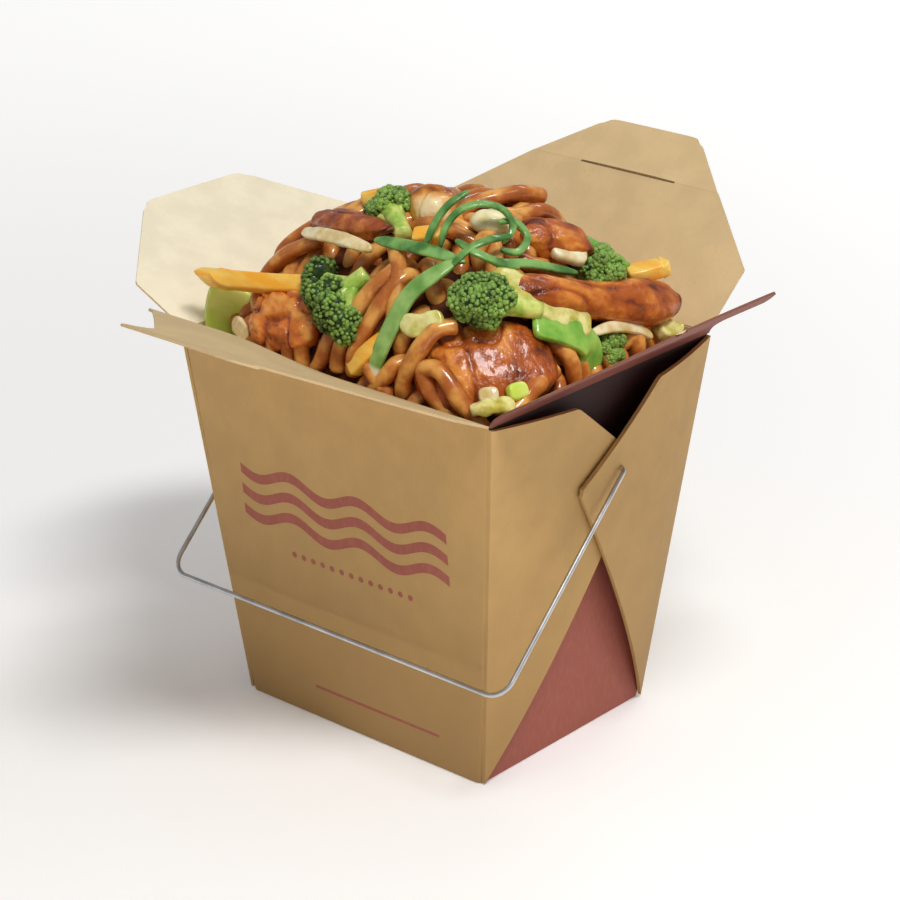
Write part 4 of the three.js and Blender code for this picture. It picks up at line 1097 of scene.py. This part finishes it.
# %% Cut vegetables
KINDS = {
    "carrot": ("carrot", carrot_flesh, dict(taper=0.85, square=0.35)),
    "pale pepper": ("pepper", pepper_light, {}),
    "pepper": ("pepper", pepper_green, dict(taper=0.8)),
    "stalk": ("spring_onion", onion_stem, {}),
    "curl": ("spring_onion", onion_leaf, {}),
    "onion": ("cabbage", onion_flesh, {}),
    "leaf": ("cabbage", cabbage_leaf, {}),
}
STRIPS = {
    "carrot_left": ("carrot", 4.8, 4.4, dict(taper=0.9, slant=1.2),
        [(-50, -39.5, 120), (-31, -36.5, 121.7), (-12, -32, 124)]),
    "carrot_right": ("carrot", 6, 4, {}, [(37, 29, 122), (44, 38, 124)]),
    "carrot_diagonal": ("carrot", 4.5, 4, {},
        [(5.4, -41.6, 108), (9.8, -40.4, 113.4), (13.8, -37.6, 117.8)]),
    "carrot_top": ("carrot", 5, 4, {}, [(7, -20, 138), (14, -17, 139.5)]),
    "carrot_back_left": ("carrot", 4.5, 4, {}, [(-20, -10, 140), (-13, -4, 142)]),
    "carrot_back": ("carrot", 5.5, 4.5, {}, [(-30, 36, 119), (-12, 38.5, 117)]),
    "pepper_left": ("pale pepper", 12.5, 3, dict(taper=0.8, square=0.3, face=(0.45, -0.8, 0.4)),
        [(-45.5, -34, 101), (-46, -34, 109), (-45, -33, 117)]),
    "pepper_front": ("pepper", 8.5, 2.4, dict(square=0.3),
        [(42.5, -16, 122.5), (46.3, -8, 119.5), (48.8, -1.5, 114), (48.6, -1.5, 107)]),
    "pepper_back": ("pepper", 8, 3.2, {}, [(20, 20, 134), (30, 27, 128), (36, 35, 120)]),
    "onion_stalk": ("stalk", 4.8, 1.8, {},
        [(24.1, -23.9, 136.4), (21.3, -29.4, 133.5), (17.7, -33.6, 129.1),
         (15.6, -37.9, 121.7), (13.8, -41.4, 113.4), (12.6, -42.0, 107.5)]),
    "onion_slice": ("onion", 3.8, 1.8, dict(wave=0.4),
        [(-26.3, -25.5, 133.5), (-17, -27.1, 135.3), (-8.8, -27.3, 135.5), (-1, -26.6, 134.6)]),
    "onion_wedge": ("onion", 6, 3, {}, [(31, 5, 134), (37, 12, 131)]),
    "onion_crescent": ("onion", 3, 1.8, {},
        [(47.6, 0.5, 116.4), (48.3, 8.5, 116.2), (49.1, 19.2, 112.6), (50, 23.2, 109.6)]),
    "cabbage_long": ("leaf", 9.5, 2.6, dict(taper=0.7, wave=0.4),
        [(31.5, -18.6, 134), (37.5, -14.9, 129.7), (42.8, -7.6, 124.3), (47.4, 0.8, 117.8)]),
    "cabbage_left": ("onion", 4.5, 2.4, dict(wave=0.6),
        [(-39, -38.3, 110), (-35, -40.5, 109.3), (-31.5, -41.5, 107.5)]),
    "cabbage_front": ("leaf", 5, 3.5, dict(wave=0.9),
        [(44, -41.4, 107), (47.6, -38.1, 108), (48.3, -30.7, 107)]),
    "cabbage_bit": ("onion", 4, 2.4, dict(wave=0.5), [(43, -37.2, 109.6), (46.3, -33.4, 109.9)]),
    "cabbage_middle": ("leaf", 6, 2.4, dict(wave=0.7),
        [(17.8, -36.6, 122.6), (23.6, -36.5, 122.9), (28.9, -33.6, 125.5)]),
    "cabbage_right": ("leaf", 5, 3, dict(wave=0.7), [(49, 27, 110), (48.7, 37, 108.5)]),
    "celery_piece": ("pale pepper", 4.5, 3, {}, [(47.5, -31.3, 109.6), (49.2, -26.3, 109.9)]),
    "curl_upright": ("curl", 2, 1.3, dict(rows=90),
        [(13.6, -23.3, 137.8), (14, -20.3, 142.9), (15.5, -16.7, 147.5), (18.1, -11.4, 150.5)]),
    "curl_loop": ("curl", 2, 1.3, dict(rows=120),
        [(17.6, -22.2, 138.1), (17.8, -19.8, 143.6), (20, -16.7, 147.4), (23.4, -11.8, 148.3),
         (26.2, -7.5, 146), (28, -6.4, 141.9), (28.3, -10.6, 138.6)]),
    "curl_left": ("curl", 3.4, 1.3, dict(taper=0.3, wave=0.3, rows=90),
        [(-2, -25, 136.7), (6.3, -25.2, 137.5), (17, -25.2, 138), (26.4, -22.5, 136.3)]),
    "curl_right": ("curl", 2.6, 1.3, dict(taper=0.4, rows=90),
        [(28, -17, 137), (31.1, -16.2, 135.9), (34.5, -7.5, 134), (38.8, 6.4, 128.9)]),
    "curl_ring": ("curl", 2, 1.3, dict(rows=90),
        [(25.5, -9.2, 143.4), (27, -4.4, 142.6), (30.3, -3.6, 139.4), (32, -9.2, 137),
         (29.9, -13.7, 138.2)]),
    "curl_arch": ("curl", 2.2, 1.3, {},
        [(21, -20.4, 140.5), (27.5, -20.4, 138.8), (31.9, -16.8, 136.3), (34.4, -11.3, 133.9)]),
    "curl_bow": ("curl", 2, 1.3, {},
        [(23.9, -25.6, 135.2), (25.9, -21.2, 139.2), (28, -16.1, 140.9), (29.8, -8.9, 140.6)]),
}
strip_points = []
for node, (kind, width, thickness, form, points) in STRIPS.items():
    slot, material, common = KINDS[kind]
    part = strip(points, width, thickness, **{**common, **form})
    strip_points.append(part[0])
    make_piece(f"{node}_strip", part, "carton", [material], stands_for=[node], tone=run_tone(part))
print("strips", len(strip_points))

peanut_part, _ = lump((15.5, -8.5, 141.5), (24, -2.2, 140.8), 8, 6.5, 4, rough=0.05, square=1,
                      depth=0.12, size=9)
make_piece("peanut_kernel", peanut_part, "carton", [nut_skin], stands_for=["peanut"])

# %% [markdown]
# The noodles are thick and soft, so each is a round tube that follows the heap. A core, painted
# dark as shade, fills the box below them. The strands that show most have listed paths, each
# point an x, a y and a rise above the heap's top layer: the first list may lie over toppings and
# stays as it is. The rest wander over the heap: the upper ones in bundles that run side by side,
# as they slide out of a pan, the lower ones alone, and short ones that come down to the rim all
# round.

# %% Noodle paths
CORE_DEPTH = 7.2
LINE_POINTS = 24
BUNDLES, BUNDLE_OF, LOWER_COUNT, RIM_SPACING = 14, 3, 42, 6.4
BESIDE = 2.05 * NOODLE_RADIUS
LYING_OVER = [
    [(38, -38.8, -6.0), (30.5, -40.2, -0.5), (28, -40.2, 3.5), (32.5, -39.8, 5.5), (40, -39.3, 3.5),
     (46, -37.0, -3.0)],
    [(48, -33, -1), (49.3, -28, 2.0), (49.3, -22, 1.5), (48.5, -14, 0)],
    [(20.5, -39.4, -9), (22, -40.4, -1), (24.5, -39.5, 3.5), (28, -35.5, 4.5), (31, -31, 1.0)],
    [(9, -22, -4), (7.8, -26, 0.8), (6.8, -29.6, 2.3), (4.2, -32.7, 2.4), (2.2, -36.2, 2.4),
     (1.2, -38.9, 2.0), (0.3, -40.5, 0.5), (-0.6, -40.5, -6)],
    [(13, -24, -4), (11.6, -27.4, 0.8), (10.8, -30.2, 2.3), (9.1, -33.7, 2.4), (7.7, -36.6, 2.4),
     (6.5, -38.9, 2.0), (5.6, -40.4, 0.5), (4.6, -40.4, -6)],
    [(0, -19, -3), (2.6, -21.9, 0.6), (6.4, -25.4, 2.2), (9.4, -28.3, 2.6), (11.6, -31.5, 1.6),
     (13, -35, -3)],
    [(5, -5, -5), (8, 2, 0.5), (11, 8, 2.5), (14, 14, 4.5), (17, 20, 6.0)],
    [(12, -4, -5), (15, 2, 0), (19, 8, 1.5), (21, 14, 3), (22, 20, 0), (21, 25, -6)],
]
SHOWN_STRANDS = [
    [(-37, -35, 0), (-39, -28, 0), (-36, -22, 0), (-28, -19, 0), (-17, -22, 0)],
    [(-33, -35, 0), (-33, -29, 0.5), (-26, -26, 0.5), (-16, -29, 0), (-10, -29, 0)],
    [(-8, -27, 0.5), (4, -26, 1), (14, -25, 1), (20, -23, 0.5)],
    [(-10, 36, -1), (-3, 32, 0), (8, 27, 0), (18, 26, -1)],
    [(-8, 40, -3), (2, 38.5, 0), (12, 34, 0), (22, 30, -1)],
    [(9, 41, -6), (11, 37, 0), (13, 29, 0), (10, 20, -1)],
    [(-14, 41, -6), (-10, 36, 0), (-5, 28, 0), (-2, 20, -1)],
    [(16, 41, -6), (19, 36, 0), (20, 30, 0), (17, 22, -1)],
    [(25, -28, 0), (21, -34, 1), (18, -38, 1), (17, -41, -1)],
    [(29, -30, 0), (25, -36, 1), (22, -39, 1), (21, -41, -1)],
]


def wandering(count, side_by_side, length, seed):
    """Paths that start in the cells of a loose grid and turn steadily as they go, in bundles of
    parallel ones. Each dives at both ends."""
    random = np.random.default_rng(seed)
    columns = int(np.ceil(np.sqrt(count * HEAP_X / HEAP_Y)))
    rows = int(np.ceil(count / columns))
    t = np.linspace(0, 1, 9)
    dive = -5 * (smooth_step(0.86, 1.0, t) + smooth_step(0.14, 0.0, t))
    paths = []
    for k in range(count):
        x = mix(-42, 42, ((k % columns) + random.uniform(0.1, 0.9)) / columns)
        y = mix(-36, 36, ((k // columns) + random.uniform(0.1, 0.9)) / rows)
        heading = random.uniform(0, 2 * np.pi) + random.uniform(-0.4, 0.4) * np.arange(9)
        run = np.stack([np.cos(heading), np.sin(heading)], -1) * length / 9
        middle = np.array([x, y]) + np.cumsum(run, axis=0) - run.sum(0) / 2
        across = unit(np.stack([-run[:, 1], run[:, 0]], -1))
        for j in range(side_by_side):
            beside = middle + across * (j - (side_by_side - 1) / 2) * BESIDE
            inside = np.clip(beside, (-48, -40), (48, 40))
            paths.append(np.column_stack([inside, dive + random.uniform(-0.8, 0.3, 9)]))
    return paths


def rim_drops(spacing, seed):
    """Short paths round the rim: each leaves the heap's inside, shows for a centimetre, and goes
    down behind the wall. Their feet lie at even steps along the heap's outline."""
    random = np.random.default_rng(seed)
    outline = heap_outline(np.linspace(0, 2 * np.pi, 721))
    run = np.concatenate([[0], np.cumsum(np.linalg.norm(np.diff(outline, axis=0), axis=1))])
    count = int(run[-1] / spacing)
    at = (np.arange(count) + random.uniform(-0.3, 0.3, count)) * spacing
    foot = np.column_stack([np.interp(at, run, outline[:, k]) for k in (0, 1)])
    along = unit(np.column_stack([-foot[:, 1] * HEAP_X / HEAP_Y, foot[:, 0] * HEAP_Y / HEAP_X]))
    ratio = np.array([0.99, 0.95, 0.86, 0.74, 0.60])
    rise = np.array([-6.0, -0.5, 0.0, -1.0, -6.0])
    paths = []
    for place, way in zip(foot, along):
        lean = random.uniform(-20, 20)
        flat = place * ratio[:, None] + way * (lean * (1 - ratio) / 0.4)[:, None]
        paths.append(np.column_stack([flat, rise + random.uniform(-1.5, 1, 5)]))
    return paths

# %% [markdown]
# The toppings lie on the noodles, so no noodle may climb over them. Each topping's height over
# a grid of small cells is worked out first, and noodles that pass through a cell stay below it.

# %% Under the toppings
CELLS = 120
FAR_UP = 1e3


def cell_of(x, y):
    """The row and column of the 1 mm cell that a place falls in."""
    return tuple(np.clip(place + CELLS / 2, 0, CELLS - 1).astype(int) for place in (x, y))


def spread(cells, pick):
    """Each cell and its eight neighbours brought to one value by np.min or np.max."""
    return pick([np.roll(cells, (a, b), (0, 1)) for a in (-1, 0, 1) for b in (-1, 0, 1)], axis=0)


def topping_ceiling(toppings):
    """For each cell the lowest of the toppings' own tops within 2 mm, or a great height where
    none lies. A slope is steep, so the neighbours keep a noodle inside it."""
    ceiling = np.full((CELLS, CELLS), FAR_UP)
    for points in toppings:
        top = np.full((CELLS, CELLS), -FAR_UP)
        np.maximum.at(top, cell_of(points[:, 0], points[:, 1]), points[:, 2])
        top = spread(top, np.max)
        low = spread(spread(np.where(top > 0, top, FAR_UP), np.min), np.min)
        ceiling = np.minimum(ceiling, np.where(top > 0, low, FAR_UP))
    return ceiling


ceiling = topping_ceiling(
    [part[0] for part, _ in CHICKEN.values()] + strip_points + floret_points + [peanut_part[0]])
print("cells under toppings", int((ceiling < FAR_UP).sum()))

# %% [markdown]
# Paths drawn over one heap cross each other, so they are relaxed before tubes are swept along
# them: crossing lines push each other apart, as soft noodles do when they come to rest. It works
# on all lines at once, and pairs that can't meet are left out by a check every few rounds.

# %% Settling
SETTLE_ROUNDS = 60
TOUCHING = 2 * NOODLE_RADIUS * 0.95
PAIRS_EVERY, PAIRS_MARGIN = 6, 1.5
PUSH, MOST_MOVED, SMOOTHING, EVENING = 0.3, 0.8, 0.3, 0.25
SKIN_CLEAR, TOPPING_CLEAR, INSIDE = 0.8, 0.4, 0.95


def strand_path(points, lower=0.0):
    """One noodle's middle line over the heap, `lower` below the top layer."""
    x, y, rise = np.array(points, float).T
    height = heap_top(x, y) - NOODLE_RADIUS - lower + rise
    return smooth_path(np.column_stack([x, y, height]), LINE_POINTS)


def settle(paths, free, rounds):
    """Noodles that cross are pushed apart until they lie on each other. In each round every two
    points nearer than a noodle's thickness are moved away from each other by part of the overlap,
    each line is smoothed and pulled back to even spacing, and none leaves the box or lies over a
    topping. The first `free` lines stay where they are, over toppings too."""
    paths = np.array(paths)
    p = paths.copy()
    strands, count, _ = p.shape
    own = np.repeat(np.arange(strands), count)
    spacing = np.linalg.norm(np.diff(p, axis=1), axis=-1).mean(1)[:, None, None]
    for turn in range(rounds):
        flat = p.reshape(-1, 3)
        if turn % PAIRS_EVERY == 0:
            size = (flat**2).sum(-1)
            near = (size[:, None] + size[None] - 2 * flat @ flat.T) < (TOUCHING + PAIRS_MARGIN) ** 2
            first, second = np.nonzero(np.triu(near, 1) & (own[:, None] != own[None]))
        gap = flat[first] - flat[second]
        apart = np.linalg.norm(gap, axis=1)
        push = np.maximum(TOUCHING - apart, 0)[:, None] * gap / np.maximum(apart, 1e-6)[:, None] * PUSH
        move = np.zeros_like(flat)
        for axis in range(3):
            move[:, axis] = (np.bincount(first, push[:, axis], len(flat))
                             - np.bincount(second, push[:, axis], len(flat)))
        p = p + np.clip(move, -MOST_MOVED, MOST_MOVED).reshape(p.shape)
        p[:free] = paths[:free]
        x, y = p[..., 0], p[..., 1]
        under = ceiling[cell_of(x, y)] - NOODLE_RADIUS - TOPPING_CLEAR
        top = np.minimum(heap_top(x, y) - SKIN_CLEAR, under)
        top[:free] = FAR_UP
        p[..., 2] = np.minimum(p[..., 2], top)
        p[:, 1:-1] += SMOOTHING * ((p[:, 2:] + p[:, :-2]) / 2 - p[:, 1:-1])
        step = np.diff(p, axis=1)
        length = np.linalg.norm(step, axis=-1, keepdims=True)
        fix = step * (length - spacing) / length * EVENING
        p[:, :-1] += fix
        p[:, 1:] -= fix
        r = heap_distance(p[..., 0], p[..., 1])
        p[..., :2] *= np.minimum(1.0, INSIDE / np.maximum(r, 1e-6))[..., None]
    p[:free] = paths[:free]
    return p

# %% [markdown]
# A noodle is a tube, and its tone follows the way that each side of it faces: painted light
# along the top and painted shade below. The core is one closed skin below the layers, painted
# dark as shade.

# %% Noodle and core
def noodle(path, around, rows, seed, shade):
    """The tube round a noodle's middle line, a little uneven in thickness, with rounded ends. Its
    tone is painted lighter along the top and darker below, as painted light and shade."""
    path = smooth_path(path, rows)
    t = np.linspace(0, 1, rows)
    close = np.sqrt(np.clip(1 - np.abs(2 * t - 1) ** 40, 0.03, 1))
    swell = 1 + 0.05 * np.sin(11 * t + seed) + 0.03 * np.sin(29 * t + 2 * seed)
    radius = NOODLE_RADIUS * close * swell
    around_up = np.sin(np.linspace(0, 2 * np.pi, around, endpoint=False))
    # Painted light and shade: lighter on the upper side of the tube, darker on the lower.
    tone = shade + 0.42 * around_up + 0.12 * np.sin(17 * t + 3 * seed)[:, None]
    skin = tube(swept_rings(path, heap_normal(path), oval(radius, radius * 0.95, around)))
    return skin, np.clip(np.concatenate([tone.ravel(), [shade, shade]]), 0, 1)


def make_core():
    """The inside of the heap, painted dark as shade: rings up the walls and then over a lower dome."""
    rows = []
    shape = heap_outline(np.linspace(0, 2 * np.pi, 72, endpoint=False))
    for z in (BOARD + 0.4, 30, 60, HEIGHT - CORE_DEPTH - 3):
        ratio = mix(BASE_X, TOP_X, z / HEIGHT) / TOP_X - 0.03
        rows.append(np.column_stack([shape * ratio, np.full(len(shape), z)]))
    for r in np.linspace(0.97, 0.02, 24):
        z = HEIGHT - CORE_DEPTH + HEAP_RISE * max(0.0, 1 - r**HEAP_FALL) ** HEAP_CROWN
        rows.append(np.column_stack([shape * r, np.full(len(shape), z)]))
    return tube(np.array(rows))

# %% [markdown]
# The layers below give, for each kind of noodle, its lines, how many points go round and along
# it, and the range that its shade is drawn from at random: the deeper layers are painted darker,
# as painted shade, and have fewer faces, because little of them shows.

# %% Noodle heap
random = np.random.default_rng(3)
layers = [
    ([strand_path(p) for p in LYING_OVER + SHOWN_STRANDS], 16, 60, (0.35, 0.7)),
    ([strand_path(p) for p in wandering(BUNDLES, BUNDLE_OF, 58, 5)], 14, 60, (0.2, 0.75)),
    ([strand_path(p, lower=3.8) for p in wandering(LOWER_COUNT, 1, 46, 21)], 11, 34, (0.05, 0.45)),
    ([strand_path(p) for p in rim_drops(RIM_SPACING, 8)], 12, 30, (0.15, 0.65)),
]
settled = settle([line for lines, *_ in layers for line in lines], len(LYING_OVER), SETTLE_ROUNDS)
core = make_core()
noodle_parts = [core]
noodle_tones = [np.zeros(len(core[0]))]
lines_left = iter(enumerate(settled))
for lines, around, rows, shades in layers:
    for k, line in islice(lines_left, len(lines)):
        part, tone = noodle(line, around, rows, k, random.uniform(*shades))
        noodle_parts.append(part)
        noodle_tones.append(tone)
noodle_part = joined(noodle_parts)
noodle_paint = np.zeros(face_count(noodle_part))
noodle_paint[:face_count(core)] = 1
noodles = make_piece("noodle_heap", noodle_part, "carton", [noodle_skin, core_painted_shade],
                     stands_for=["noodles"], paint=noodle_paint, tone=np.concatenate(noodle_tones))
print("noodle count", len(settled), "triangles", sum(len(p.vertices) - 2 for p in noodles.data.polygons))

# %% [markdown]
# The stage is a pale floor under soft studio light. Most of the light comes from overhead and to
# the right. Five weaker lamps round the box give the glaze its small highlights, lift the front
# wall and edge the rims, and the surround is an even pale one. The floor glows a little, more so
# away from the box, so that it meets the surround without a line.

# %% Stage and light
FLOOR_HALF = 3.0
GLOW_NEAR, GLOW_FAR = (0.12, 0.12, 0.12, 1.0), (0.45, 0.45, 0.45, 1.0)
GLOW_FROM, GLOW_TO = 0.05, 0.9
SURROUND_STRENGTH = 0.3
LIGHTS = {
    "overhead": ((0.72, -0.35, 1.45), 0.55, 31),
    "back": ((0.0, 0.9, 1.3), 0.6, 8),
    "key": ((1.0, 0.2, 0.7), 0.25, 6),
    "front": ((-0.12, -0.7, 0.62), 0.25, 3.2),
    "side": ((-0.75, -0.45, 0.85), 0.2, 3),
    "fill": ((-0.6, -1.4, 0.8), 0.9, 4),
}


def make_floor():
    """A flat square with a glow that grows with the distance from the box, in metres."""
    mesh = bpy.data.meshes.new("floor")
    h = FLOOR_HALF
    mesh.from_pydata([(-h, -h, 0), (h, -h, 0), (h, h, 0), (-h, h, 0)], [], [(0, 1, 2, 3)])
    r = Recipe("floor_pale")
    x, y, _ = r.axes()
    far = ((x * x + y * y).math("SQRT") * MM).ramp(GLOW_FROM, GLOW_TO)
    glow = r.blend(far, GLOW_NEAR, GLOW_FAR)
    mesh.materials.append(r.finish(base_color=colour(248, 247, 245), roughness=0.9,
                                   emission_color=glow, emission_strength=1.0))
    floor = bpy.data.objects.new("floor", mesh)
    bpy.context.scene.collection.objects.link(floor)


def area_light(name, at, size, power):
    """A square soft white light at a place in metres, aimed at the box."""
    data = bpy.data.lights.new(name, "AREA")
    data.size = size
    data.energy = power
    light = bpy.data.objects.new(name, data)
    light.location = at
    aim = unit(np.array([0, 0, 0.1]) - np.array(at))
    light.rotation_euler = (np.arccos(-aim[2]), 0, np.arctan2(aim[0], -aim[1]))
    bpy.context.scene.collection.objects.link(light)


make_floor()
for light_name, (at, size, power) in LIGHTS.items():
    area_light(light_name, at, size, power)
world = bpy.data.worlds.new("surround")
world.use_nodes = True
background = world.node_tree.nodes["Background"]
background.inputs["Color"].default_value = (1, 1, 1, 1)
background.inputs["Strength"].default_value = SURROUND_STRENGTH
bpy.context.scene.world = world
bpy.context.scene.view_settings.view_transform = "Standard"
